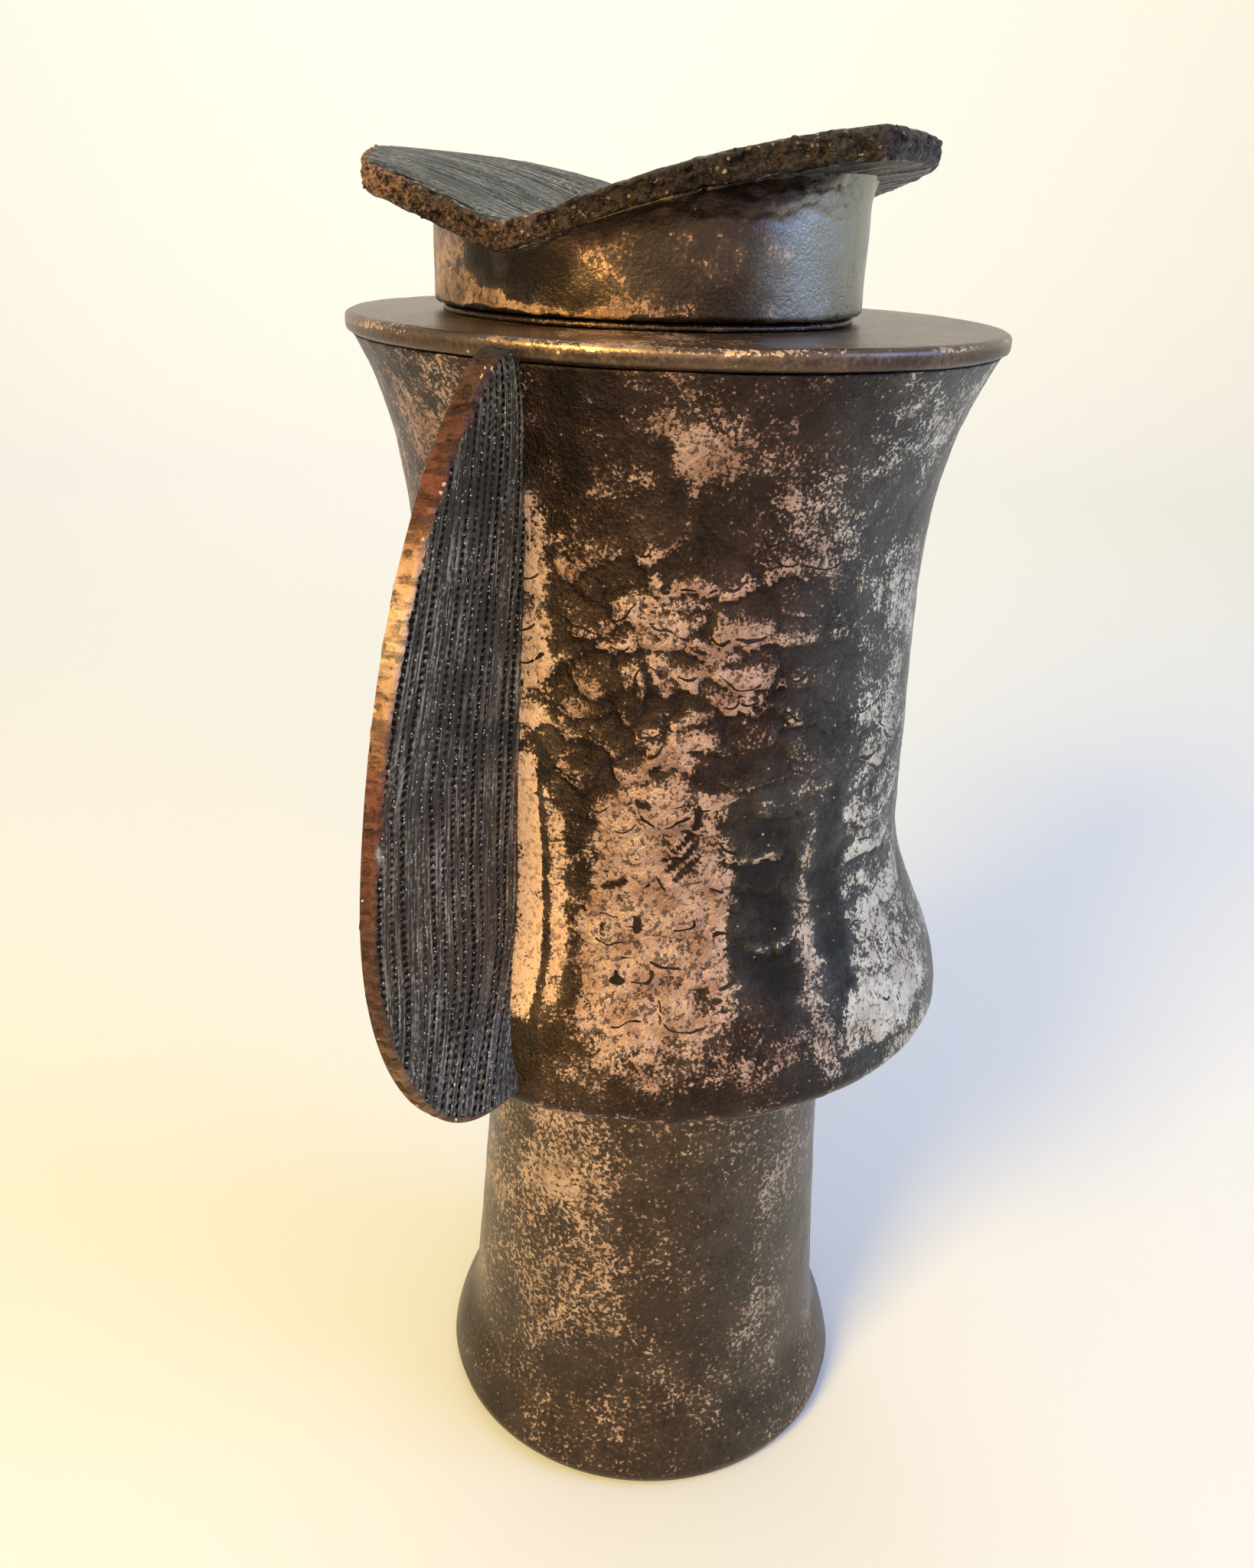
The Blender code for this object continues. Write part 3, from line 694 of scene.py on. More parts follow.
body_worn = brushed(body_place, 0.22, (
    (-100, 0.250, 50, 0.070, 0.46, 0.6),
    (150, 0.240, 60, 0.070, 0.42, 0.6),
    (-55, 0.308, 22, 0.020, 0.54, 0.6),
    (-14, 0.303, 12, 0.013, 0.38, 0.6),
    (20, 0.318, 22, 0.014, 0.31, 0.7),
    (20, 0.3295, 5, 0.0045, 0.46, 0.6),
    (52, 0.320, 14, 0.012, 0.44, 0.7),
    (6, 0.3285, 6, 0.0022, 0.46, 0.6),
    (-2, 0.3250, 2.5, 0.0030, 0.62, 0.5),
    (4.7, 0.3165, 4.2, 0.0065, 0.86, 0.35),
    (9, 0.3170, 3, 0.0030, 0.55, 0.5),
    (4, 0.3060, 1.9, 0.0050, 0.66, 0.5),
    (-6, 0.3122, 3, 0.0030, 0.64, 0.5),
    (-12, 0.3090, 4, 0.0030, 0.50, 0.5),
    (0.5, 0.2975, 7, 0.0035, 0.54, 0.5),
    (24, 0.3100, 5, 0.0060, 0.38, 0.6),
    (-2, 0.2680, 24, 0.0270, 0.46, 0.45),
    (-2.5, 0.2885, 6, 0.0060, 0.58, 0.5),
    (10, 0.2834, 6, 0.0040, 0.64, 0.5),
    (7.7, 0.2800, 5, 0.0020, 0.16, 0.5),
    (-2.2, 0.2755, 9, 0.0050, 0.70, 0.5),
    (19, 0.2755, 4, 0.0040, 0.62, 0.5),
    (9, 0.2705, 4, 0.0022, 0.16, 0.5),
    (13, 0.2665, 8, 0.0055, 0.68, 0.5),
    (-13, 0.2610, 9, 0.0075, 0.66, 0.5),
    (-17, 0.2520, 4, 0.0060, 0.62, 0.5),
    (-5, 0.2600, 6, 0.0050, 0.20, 0.5),
    (7, 0.2545, 5, 0.0085, 0.72, 0.5),
    (17, 0.2565, 4, 0.0040, 0.68, 0.5),
    (40, 0.2750, 13, 0.0300, 0.14, 0.5),
    (-9, 0.2475, 6.5, 0.0050, 0.12, 0.5),
    (57, 0.2080, 14, 0.0400, 0.42, 0.6),
    (60, 0.1880, 12, 0.0170, 0.60, 0.6),
    (1, 0.2060, 15.5, 0.0330, 1.02, 0.26),
    (14, 0.2350, 5, 0.0030, 0.86, 0.35),
    (-2.5, 0.2365, 5.5, 0.0045, 1.0, 0.25),
    (5, 0.2470, 2.4, 0.0090, 0.88, 0.35),
    (11.5, 0.2425, 3, 0.0040, -0.30, 0.35),
    (23, 0.2455, 5, 0.0045, -0.30, 0.35),
    (-14.5, 0.2310, 3, 0.0080, 0.02, 0.4),
    (-14, 0.2160, 2.6, 0.0100, 0.34, 0.5),
    (-14.5, 0.1950, 1.5, 0.0300, 0.28, 0.6),
    (0, 0.1700, 20, 0.0050, 0.46, 0.5),
    (11.9, 0.1880, 3, 0.0060, 0.50, 0.6),
    (24, 0.2130, 6.8, 0.0270, -0.55, 0.3),
    (27, 0.1880, 4.8, 0.0100, -0.50, 0.3),
    (41, 0.2070, 3.8, 0.0290, -0.50, 0.4),
    (24, 0.2330, 6, 0.0012, 0.42, 0.9),
    (23, 0.2190, 6, 0.0012, 0.38, 0.9),
    (26, 0.1985, 5, 0.0012, 0.42, 0.9),
    (35, 0.2220, 1.6, 0.0200, 0.52, 0.5),
    (34, 0.1880, 2.6, 0.0150, 0.70, 0.6),
    (7, 0.2215, 4, 0.0036, 0.50, 0.6),
    (36.4, 0.2350, 4, 0.0025, 0.60, 0.5),
    # The next two touches are a painted highlight: the pale sheen on the lower right bulge, worn
    # through to the pale lustre of the cool side.
    (46.8, 0.1766, 5, 0.0060, 0.95, 0.5),
    (54, 0.1720, 12, 0.0060, 1.0, 0.5),
    (0, 0.1590, 180, 0.0070, 0.10, 0.4),
    (6, 0.1562, 38, 0.0012, 0.58, 0.6),
    (60, 0.1600, 16, 0.0030, 0.50, 0.6),
    (37, 0.1663, 6, 0.0030, 0.66, 0.5),
    (10, 0.1685, 16, 0.0025, 0.44, 0.5),
))
steady_place = turned_place(body, BODY_AXIS, (0.5, 0.0008), 4.0)
# The second to fourth strokes lay the bright strip beside the wing's root: partly rubbed copper and
# partly a painted highlight where the light falls on it.
keep(body, "worn", drawn(steady_place, body_worn, (
    (0.0011, 0.55, (-19.5, 0.300), (-18.5, 0.270), (-18.5, 0.240)),
    (0.0034, 0.84, (-26.6, 0.303), (-25.6, 0.280), (-25.4, 0.250)),
    (0.0030, 0.94, (-25.6, 0.240), (-25.0, 0.220), (-24.0, 0.200), (-22.2, 0.178)),
    (0.0016, 0.80, (-20.0, 0.230), (-18.4, 0.205), (-17.4, 0.185)),
    (0.0010, 0.0, (-25.5, 0.248), (-23.5, 0.246), (-22.0, 0.238)),
    (
        0.0007, -0.1,
        (-23.8, 0.240), (-22.6, 0.226), (-21.6, 0.210), (-20.2, 0.195), (-19.4, 0.176),
    ),
    (0.0010, 0.25, (-20.9, 0.300), (-20.6, 0.275), (-20.8, 0.252)),
    (0.0007, 0.20, (-14.8, 0.235), (-14.4, 0.205), (-14.8, 0.175)),
    (0.0020, -0.4, (-15.4, 0.334), (-16.6, 0.322), (-15.5, 0.312)),
    (0.0006, -0.6, (-2.4, 0.2354), (-0.6, 0.2350)),
    (0.0008, -0.5, (-1.6, 0.2054), (-1.6, 0.2024)),
    (0.0007, 0.1, (-8.8, 0.2032), (-8.9, 0.2000)),
    (0.0005, -0.5, (9.2, 0.2345), (9.4, 0.2310), (8.8, 0.2295)),
    (0.0003, -0.7, (2.6, 0.2208), (5.8, 0.2240), (8.6, 0.2276)),
    (0.0003, -0.7, (3.4, 0.2182), (6.4, 0.2210), (9.6, 0.2250)),
    (0.0003, -0.7, (5.0, 0.2158), (9.6, 0.2216)),
    (0.0004, -0.5, (-9.2, 0.2128), (-4.7, 0.2146)),
    (0.0034, -0.6, (-23.0, 0.1720), (-21.0, 0.1620)),
), 0.072))
# Painted highlight: the same strip beside the wing's root, made brighter and less metallic in its
# colour.
keep(body, "polish", drawn(steady_place, 0.0 * body_worn, (
    (0.0050, 0.75, (-26.5, 0.303), (-26.0, 0.250)),
    (0.0050, 1.0, (-26.0, 0.250), (-25.2, 0.220), (-22.5, 0.178)),
    (0.0022, 0.6, (-20.0, 0.230), (-18.4, 0.205), (-17.4, 0.185)),
), 0.072))
keep(body, "tooled", brushed(body_place, 0.10, (
    (2, 0.2650, 32, 0.0300, 1.0, 0.4),
    (24, 0.2150, 8, 0.0280, 0.9, 0.4),
    (56, 0.2150, 18, 0.0400, 0.45, 0.5),
    (1, 0.2050, 17, 0.0300, 0.50, 0.3),
)))
# Painted cool light: the right side turns paler and greyer, partly a paler tone and partly the cool
# light falling on it; on the black runs at 24 and 41 degrees it paints lighter grey highlights.
keep(body, "cool", brushed(body_place, 0.05, (
    (24, 0.2130, 8, 0.0290, 0.5, 0.4),
    (41, 0.2070, 5, 0.0300, 0.6, 0.4),
    (84, 0.24, 50, 0.3, 0.95, 0.3),
)))
dents = {"dent_size": 0.018, "dent_depth": 0.0011, "grain_size": 0.0045, "grain_depth": 0.0003}
scales = {"scale_size": (0.014, 0.014, 0.0085), "scale_depth": 0.0012}
shaped(body, worked_clay, **dents, **scales, seed=1.0, clay=body_clay)
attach(body, "jug")
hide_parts("body_wall")

# Shoulder plate: a flat slab luted on the wall's top, its rim rubbed to bright copper. The
# mouth is cut off centre, below the lid.
LID_AXIS = (-0.0074, 0.0103)
PLATE_RADIUS = 0.0822
PLATE_LOW = 0.3352
PLATE_HIGH = 0.3400
PLATE_ROUND = 0.0016
PLATE_STEPS = 300
PLATE_ROWS = 30
RIM_ROWS = 8
MOUTH_RADIUS = 0.0400
plate_clay = clay_material(
    "shoulder clay",
    bump=0.00015,
    patch_size=0.012,
    patch_weight=1.6,
    speckle_size=0.0011,
    fleck_share=0.03,
    oxide=(0.150, 0.094, 0.068),
    cool_oxide=(0.145, 0.122, 0.102),
    lustre=(0.90, 0.58, 0.36),
    deep_lustre=(0.26, 0.16, 0.11),
    cool_lustre=(0.50, 0.44, 0.36),
)


def ring_faces(steps, count):
    """Faces between closed outlines of a count of points, set round an axis in steps."""
    faces = []
    for step in range(steps):
        here, there = step * count, (step + 1) % steps * count
        for index in range(count):
            after = (index + 1) % count
            faces.append((here + index, here + after, there + after, there + index))
    return faces


def plate_mesh(name, rim, mouth_centre, mouth_radius, steps, rows):
    """Flat ring whose bore stands off centre: the top, the round rim, the underside and
    the bore, as one closed mesh."""
    line = [(share / rows, PLATE_HIGH) for share in range(rows)] + rim
    line += [(1.0 - share / rows, PLATE_LOW) for share in range(1, rows + 1)]
    points = []
    for step in range(steps):
        turn = 2 * math.pi * step / steps
        way = np.array((math.sin(turn), -math.cos(turn)))
        inner = Vector(mouth_centre + mouth_radius * way)
        for share, height in line:
            spot = inner.lerp(Vector(BODY_AXIS + rim_reach(height) * way), share)
            points.append((spot.x, spot.y, height))
    return outward(new_piece(name, points, (), ring_faces(steps, len(line))))


def rim_reach(height):
    """Radius of the plate's edge at a height, rounded above and below."""
    lift = min(height - PLATE_LOW, PLATE_HIGH - height, PLATE_ROUND) / PLATE_ROUND
    return PLATE_RADIUS - PLATE_ROUND * (1.0 - math.sqrt(max(0.0, 1.0 - (1.0 - lift) ** 2)))


rim = [
    (1.0, PLATE_HIGH - (PLATE_HIGH - PLATE_LOW) * row / RIM_ROWS) for row in range(RIM_ROWS + 1)
]
shoulder = plate_mesh("shoulder", rim, LID_AXIS, MOUTH_RADIUS, PLATE_STEPS, PLATE_ROWS)
plate_place = turned_place(shoulder, BODY_AXIS, (6.0, 0.0003), 7.0)
keep(shoulder, "worn", brushed(plate_place, 0.16, (
    (0, 0.3362, 180, 0.0022, -0.35, 0.5),
    (-70, 0.3388, 26, 0.0010, 0.42, 0.6),
    (-4, 0.3391, 24, 0.0009, 0.70, 0.6),
    (60, 0.3392, 22, 0.0006, 0.56, 0.5),
    (170, 0.3390, 60, 0.0008, 0.55, 0.5),
)))
# Painted cool light: the right side turns paler and greyer, partly a paler tone and partly the cool
# light falling on it.
keep(shoulder, "cool", brushed(plate_place, 0.05, ((80, 0.34, 50, 0.2, 0.5, 0.4),)))
dents = {"dent_size": 0.02, "dent_depth": 0.0005, "grain_size": 0.004, "grain_depth": 0.0001}
shaped(shoulder, worked_clay, **dents, scale_depth=0.0, seed=8.0, clay=plate_clay)
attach(shoulder, "jug")
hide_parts("shoulder_plate")

# Neck ring: a thrown ring of the same brown clay, luted round the mouth as a low seat for
# the lid, with a spigot that stands up inside it. It shows as a thin line under the lid.
NECK_LOW = 0.3403
NECK_SEAT = 0.3416
NECK_TOP = 0.3494
neck_outline = joined(
    curve(((0.0459, NECK_TOP), (0.0468, NECK_TOP), (0.0468, 0.3488), (0.0468, 0.3483)), 5),
    (0.0468, 0.3450),
    (0.0468, NECK_SEAT),
    (0.0502, NECK_SEAT),
    curve(((0.0502, NECK_SEAT), (0.0511, NECK_SEAT), (0.0511, 0.3410), (0.0511, NECK_LOW)), 4),
    (0.0455, NECK_LOW),
    (0.0400, NECK_LOW),
    (0.0400, 0.3450),
    curve(((0.0400, 0.3484), (0.0400, 0.3490), (0.0403, NECK_TOP), (0.0409, NECK_TOP)), 5),
    (0.0434, NECK_TOP),
    (0.0459, NECK_TOP),
)
neck = turned("neck", neck_outline, LID_AXIS, 200, inside_clay)
neck_place = turned_place(neck, LID_AXIS, (5.0, 0.0004))
keep(neck, "worn", brushed(neck_place, 0.3, ((0, 0.3494, 180, 0.0012, 0.8, 0.5),)))
# Painted cool light: the right side turns paler and greyer, partly a paler tone and partly the cool
# light falling on it.
keep(neck, "cool", brushed(neck_place, 0.1, ((75, 0.345, 40, 0.2, 0.9, 0.4),)))
dents = {"dent_size": 0.012, "dent_depth": 0.0002, "grain_depth": 0.00005}
shaped(neck, worked_clay, **dents, scale_depth=0.0, seed=3.0, clay=inside_clay)
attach(neck, "jug")
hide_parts("neck_ring")

# Wing handle: a half-leaf cut from a combed slab and luted to the body on edge, front
# left. Its faces are charcoal grey, and its torn outer edge shows red and gold clay.
WING_ANGLE = math.radians(28.6)
WING_ROOT_SINK = 0.0030
WING_REACH = 0.1217
WING_ROOT_THICK = 0.0080
WING_EDGE_THICK = 0.0053
WING_HEEL = (0.0866, 0.1603)
WING_WIDEST = (0.1217, 0.2076)
WING_TIP = (0.0847, 0.3379)
WING_HEEL_SHARE = 0.35
WING_BOW = 0.0094
WING_BOW_MIDDLE = 0.2320
WING_BOW_UP = 0.1060
WING_BOW_DOWN = 0.0640
WING_NARROW = 0.0674
WING_TORN = 0.0026
WING_CHIP = (0.1183, 0.2365)
WING_CHIP_SIZE = (0.0005, 0.0018)
WING_CELLS = (116, 300)
WING_RIM_ROWS = 11
WING_COMB = {"gap": 0.0036, "bead": 0.0018, "seed": 3.0}
CHIP_COLOUR = (0.55, 0.52, 0.48, 1.0)


def comb_lines(across, along, gap, bead, seed):
    """Nodes for the marks of a comb pulled through wet slip: lines a gap apart that drift
    and differ, each broken into beads. Gives their depth and how near a line runs."""
    drift = cloud(combine(across * 75.0, along * 13.0, seed), 1.0, 1.0)
    place = drift * 1.5 + across / gap
    inputs = {"W": calc("FLOOR", place)}
    settings = {"noise_dimensions": "1D"}
    own = signal(across.tree, "ShaderNodeTexWhiteNoise", inputs, "Value", **settings)
    aside = calc("FRACT", place) - 0.5
    square = aside * aside
    line = calc("EXPONENT", square * -27.0)
    near = calc("EXPONENT", square * -16.0)
    turn = drift * 30.0 + (own * 40.0 + along / (bead * (1 / (2 * math.pi))))
    beads = step_between(calc("SINE", turn), -0.5, 0.6) * 0.8 + 0.2
    return line * beads * (calc("POWER", own, 2.0) * 0.90 + 0.10), near


def combed_clay_tree():
    """Geometry nodes that comb a slab's faces. The vertex values 'across' and 'along' say
    in metres where a point lies on the comb's way, and 'combed' how hard it was pressed."""
    tree, given, result = clay_tree("combed clay", {
        "Gap": 0.0033,
        "Bead": 0.0017,
        "Depth": 0.0007,
        "Seed": 0.0,
    })
    across, along, combed = (vertex_value(tree, label) for label in ("across", "along", "combed"))
    groove, _ = comb_lines(across, along, given["Gap"], given["Bead"], given["Seed"])
    depth = groove * combed * given["Depth"]
    return end_piece(pushed(given["Piece"], -depth), given, result)


def combed_slip_group():
    """Shader group: dark slip with the comb's beaded lines, their grooves darkened as painted
    shade, pale hairlines between them, lightened as a painted highlight, and pale sparks of grog
    along the lines."""
    tree, given, result = new_tree("combed slip", "ShaderNodeTree", {
        "Vector": "Vector",
        "Across": 0.0,
        "Along": 0.0,
        "Gap": 0.0033,
        "Bead": 0.0017,
        "Seed": 0.0,
        "Hairlines": 1500.0,
        "Groove": (0.004, 0.003, 0.003, 1.0),
        "Slip": (0.052, 0.044, 0.034, 1.0),
        "Ridge": (0.40, 0.36, 0.30, 1.0),
        "Spark": (0.75, 0.75, 0.74, 1.0),
        "Spark share": 0.30,
    }, {"Color": "Color", "Height": "Float"})
    place, across, along, seed = (given[label] for label in ("Vector", "Across", "Along", "Seed"))
    groove, near = comb_lines(across, along, given["Gap"], given["Bead"], seed)
    hair = cloud(combine(across * given["Hairlines"], along * 55.0, seed), 1.0, 3.0, 0.6)
    grit = cloud(place, 900.0, 2.0)
    ridge = step_between(grit * 0.5 + hair, 0.70, 0.92)
    ridge = ridge * step_between(cloud(place, 60.0, 3.0), 0.25, 0.65)
    # Painted light: the hairline ridges are lightened as a highlight and the comb's grooves
    # darkened as shade.
    colour = blend(ridge, given["Slip"], given["Ridge"])
    colour = blend(calc("MULTIPLY", groove, 3.4, clamp=True), colour, given["Groove"])
    chosen, distance = grains(place, 1400.0, given["Spark share"] * (near + 0.06))
    spark = (1.0 - step_between(distance, 0.15, 0.40)) * chosen
    height = grit * 0.5 + (groove * -1.6 + hair * 1.1)
    link_out(result, {"Color": blend(spark, colour, given["Spark"]), "Height": height})
    return tree


def torn_edge_group():
    """Shader group: coarse clay torn open, dark in its pits and bright on its grains, with
    painted shade in the hollows between its ridges.
    """
    tree, given, result = new_tree("torn edge", "ShaderNodeTree", {
        "Vector": "Vector",
        "Clay": (0.2, 0.1, 0.06, 1.0),
        "Pit": (0.018, 0.011, 0.008, 1.0),
        "Glint": (0.7, 0.5, 0.3, 1.0),
        "Grain size": 0.0022,
        "Cover": 0.5,
        "Glint share": 0.1,
        "Ridge pitch": (300.0, 300.0, 300.0),
        "Ridge shade": 0.3,
    }, {"Color": "Color", "Height": "Float"})
    place = given["Vector"]
    grain = cloud(place, 1.0 / given["Grain size"], 5.0, 0.72)
    open_clay = grain + (given["Cover"] - 0.5)
    ridged = cloud(vector_calc("MULTIPLY", place, given["Ridge pitch"]), 1.0, 3.0)
    hollow = 1.0 - step_between(ridged, 0.36, 0.60)
    colour = blend(step_between(open_clay, 0.40, 0.58), given["Pit"], given["Clay"])
    # Painted shade: the hollows between the ridges are darkened towards the pit colour.
    colour = blend(hollow * given["Ridge shade"], colour, given["Pit"])
    glint, _ = grains(place, 1500.0, given["Glint share"])
    glint = glint * step_between(open_clay, 0.42, 0.6)
    height = hollow * -0.5 + grain
    link_out(result, {"Color": blend(glint, colour, given["Glint"]), "Height": height})
    return tree


def slab_clay_material(name, slip, edge, clay_stops, axis, reach):
    """Combed faces and a torn edge whose clay runs through the colour stops along an axis
    (0 for x, 2 for z), from one end of its reach to the other."""
    material, tree, shader, place = new_material(name, specular=0.25)
    kept = kept_values(tree, ("across", "along", "torn", "chip"))
    loose = cloud(place, 120.0, 2.0) - 0.5
    run = {"Value": loose * 0.02 + split(place)[axis], "From Min": reach[0], "From Max": reach[1]}
    ramp = add_node(tree, "ShaderNodeValToRGB", {"Fac": signal(tree, "ShaderNodeMapRange", run)})
    stops = ramp.color_ramp.elements
    while len(stops) < len(clay_stops):
        stops.new(0.5)
    for element, (stop, colour) in zip(stops, clay_stops):
        element.position = stop
        element.color = (*colour, 1.0)
    slip = {"vector": place, "across": kept["across"], "along": kept["along"], **slip}
    faces = in_group(tree, combed_slip, slip)
    edge = {"vector": place, "clay": Signal(ramp.outputs[0]), **edge}
    torn = in_group(tree, torn_edge, edge)
    share = (cloud(place, 480.0, 3.0) - 0.5) * 0.9 + kept["torn"]
    share = step_between(share, 0.44, 0.56)
    colour = blend(share, faces["Color"], torn["Color"])
    height = share * 2.8 * torn["Height"] + faces["Height"] * (1.0 - share)
    link_out(shader, {
        "Base Color": blend(kept["chip"], colour, CHIP_COLOUR),
        "Metallic": share * -0.3 + 0.5,
        "Roughness": share * 0.12 + 0.42,
        "Normal": signal(tree, "ShaderNodeBump", {"Height": height, "Distance": 0.0004}),
    })
    return material


def close_rim(points, faces, first, second, rows_between, lift):
    """Close the gap between two rows of vertices with a strip of rows of its own."""
    start = sum(len(part) for part in points)
    stack = np.vstack(points)
    lines = [list(first)]
    for step in range(1, rows_between):
        share = step / rows_between
        line = stack[first] * (1 - share) + stack[second] * share
        points.append(line + lift(share, line))
        lines.append(list(range(start, start + len(line))))
        start += len(line)
    lines.append(list(second))
    for low, high in zip(lines, lines[1:]):
        for index in range(len(low) - 1):
            faces.append((low[index], high[index], high[index + 1], low[index + 1]))


def cell_corners(cells):
    """Shares of the way across and up at the corners of a grid of cells, and the numbers
    of the vertices there."""
    u, v = np.meshgrid(*(np.linspace(0, 1, count + 1) for count in cells))
    return u, v, np.arange(u.size).reshape(u.shape)


def two_faces(grid):
    """Faces of the two sides of a slab, each a grid of the same cells."""
    a, b, c, d = grid[:-1, :-1], grid[:-1, 1:], grid[1:, 1:], grid[1:, :-1]
    sides = (np.dstack([a, b, c, d]), np.dstack([a, d, c, b]) + grid.size)
    return np.stack(sides, axis=2).reshape(-1, 4).tolist()


def wall_radius(height):
    """Outer radius of the body wall, or of the shoulder plate above it."""
    wall = np.interp(height, body_side[::-1, 1], body_side[::-1, 0])
    return np.where(height > BODY_TOP, PLATE_RADIUS, wall)


def wing_edge(share):
    """Distance and height of the wing's outer edge, from its heel (0) to its tip (1)."""
    heel, widest, tip = WING_HEEL, WING_WIDEST, WING_TIP
    low = (heel, (heel[0] + 0.022, heel[1]), (widest[0], widest[1] - 0.0429), widest)
    high = (widest, (widest[0], widest[1] + 0.049), (tip[0] + 0.011, tip[1] - 0.002), tip)
    line = np.vstack([curve(low, 400), curve(high, 400)])
    ends = ((0.0, WING_HEEL_SHARE), (WING_HEEL_SHARE, 1.0))
    run = np.concatenate([np.linspace(*end, 400) for end in ends])
    return np.interp(share, run, line[:, 0]), np.interp(share, run, line[:, 1])


u, v, grid = cell_corners(WING_CELLS)
edge_reach, edge_height = wing_edge(v)
root_height = WING_HEEL[1] + (WING_TIP[1] - WING_HEEL[1]) * v
root_reach = wall_radius(root_height) - WING_ROOT_SINK
distance = root_reach + (edge_reach - root_reach) * u
level = root_height + (edge_height - root_height) * u
above = level - WING_BOW_MIDDLE
bow = WING_BOW * np.abs(above / np.where(above > 0, WING_BOW_UP, WING_BOW_DOWN)) ** 3
taper = np.clip((distance - WING_NARROW) / (WING_REACH - WING_NARROW), 0.0, 1.0)
thickness = WING_ROOT_THICK + (WING_EDGE_THICK - WING_ROOT_THICK) * taper
outward_way = np.array((-math.sin(WING_ANGLE), -math.cos(WING_ANGLE), 0.0))
right_way = np.array((math.cos(WING_ANGLE), -math.sin(WING_ANGLE), 0.0))
base = distance[..., None] * outward_way + level[..., None] * np.array((0.0, 0.0, 1.0))
base += np.array((*BODY_AXIS, 0.0))
to_edge = np.minimum((1.0 - u) * (edge_reach - root_reach), (level - WING_HEEL[1]) * 1.4)
nicks = wander(base.reshape(-1, 3), 0.0035, 4.0)[:, 0].reshape(u.shape)
arris = 0.0010 * np.clip(1.0 - to_edge / (0.0016 + 0.0012 * nicks), 0.0, 1.0) ** 1.5
points = [
    (base + (bow - arris)[..., None] * right_way).reshape(-1, 3),
    (base + (bow - thickness + arris)[..., None] * right_way).reshape(-1, 3),
]
faces = two_faces(grid)
lean = distance - root_reach + 0.0030 * np.clip((0.205 - level) / 0.040, 0.0, 2.0) ** 2 * -4.0
lean = lean * (1.0 + 0.55 * np.clip(level - 0.245, 0.0, 1.0) / 0.1) - 0.04 * (0.245 - level)
torn = np.clip(1.0 - to_edge / WING_TORN, 0.0, 1.0)
chip_out = (distance - WING_CHIP[0]) / WING_CHIP_SIZE[0]
chip_up = (level - WING_CHIP[1]) / WING_CHIP_SIZE[1]
chip = 0.9 * np.exp(-(chip_out ** 2) - chip_up ** 2)


def wing_tear(share, line):
    """Depth of the torn edge between the wing's two faces: ridged across and pitted."""
    ridges = np.abs(wander(line * np.array((1.0, 1.0, 1.8)), 0.0034, 4.0)[:, 0])
    pits = wander(line, 0.0012, 9.0)[:, 1]
    depth = (0.0003 - 0.0030 * ridges + 0.0007 * pits) * math.sin(math.pi * share) ** 0.6
    return np.minimum(depth, 0.0002)[:, None] * outward_way


def no_tear(share, line):
    """No depth, for an edge that is hidden in the wall."""
    return 0.0 * line


def on_slab(item, near, far, on_rim):
    """A number for each vertex: those of a slab's two faces, and one for all the rest."""
    rest = len(item.data.vertices) - 2 * near.size
    return np.concatenate([near.ravel(), far.ravel(), np.full(rest, on_rim)])


close_rim(points, faces, grid[:, -1], grid[:, -1] + grid.size, WING_RIM_ROWS, wing_tear)
for side in (grid[:, 0], grid[0], grid[-1]):
    close_rim(points, faces, side, side + grid.size, 1, no_tear)
wing = new_piece("wing", np.vstack(points), (), faces)
keep(wing, "across", on_slab(wing, lean, lean, 0.0))
keep(wing, "along", on_slab(wing, level, level, 0.0))
combed = np.clip(to_edge / 0.002, 0.0, 1.0)
keep(wing, "combed", on_slab(wing, combed, combed, 0.0))
keep(wing, "torn", on_slab(wing, torn, torn, 1.0))
keep(wing, "chip", on_slab(wing, chip, 0.0 * chip, 0.0))
outward(wing)
combed_clay = combed_clay_tree()
combed_slip = combed_slip_group()
torn_edge = torn_edge_group()
wing_clay = slab_clay_material(
    "wing clay",
    WING_COMB,
    {
        "grain_size": 0.0030, "cover": 0.60, "glint_share": 0.003, "glint": (0.75, 0.48, 0.30),
        "ridge_pitch": (140.0, 140.0, 520.0), "ridge_shade": 0.65,
    },
    (
        (0.0, (0.18, 0.11, 0.08)), (0.10, (0.22, 0.13, 0.085)), (0.20, (0.10, 0.048, 0.034)),
        (0.50, (0.18, 0.062, 0.044)), (0.57, (0.38, 0.19, 0.12)), (0.67, (0.74, 0.49, 0.34)),
        (0.76, (0.60, 0.34, 0.22)), (0.82, (0.17, 0.056, 0.042)), (0.92, (0.12, 0.046, 0.038)),
        (1.0, (0.05, 0.036, 0.032)),
    ),
    2,
    (0.160, 0.340),
)
shaped(wing, combed_clay, **WING_COMB, depth=0.0010, clay=wing_clay)
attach(wing, "jug")
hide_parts("wing_handle")

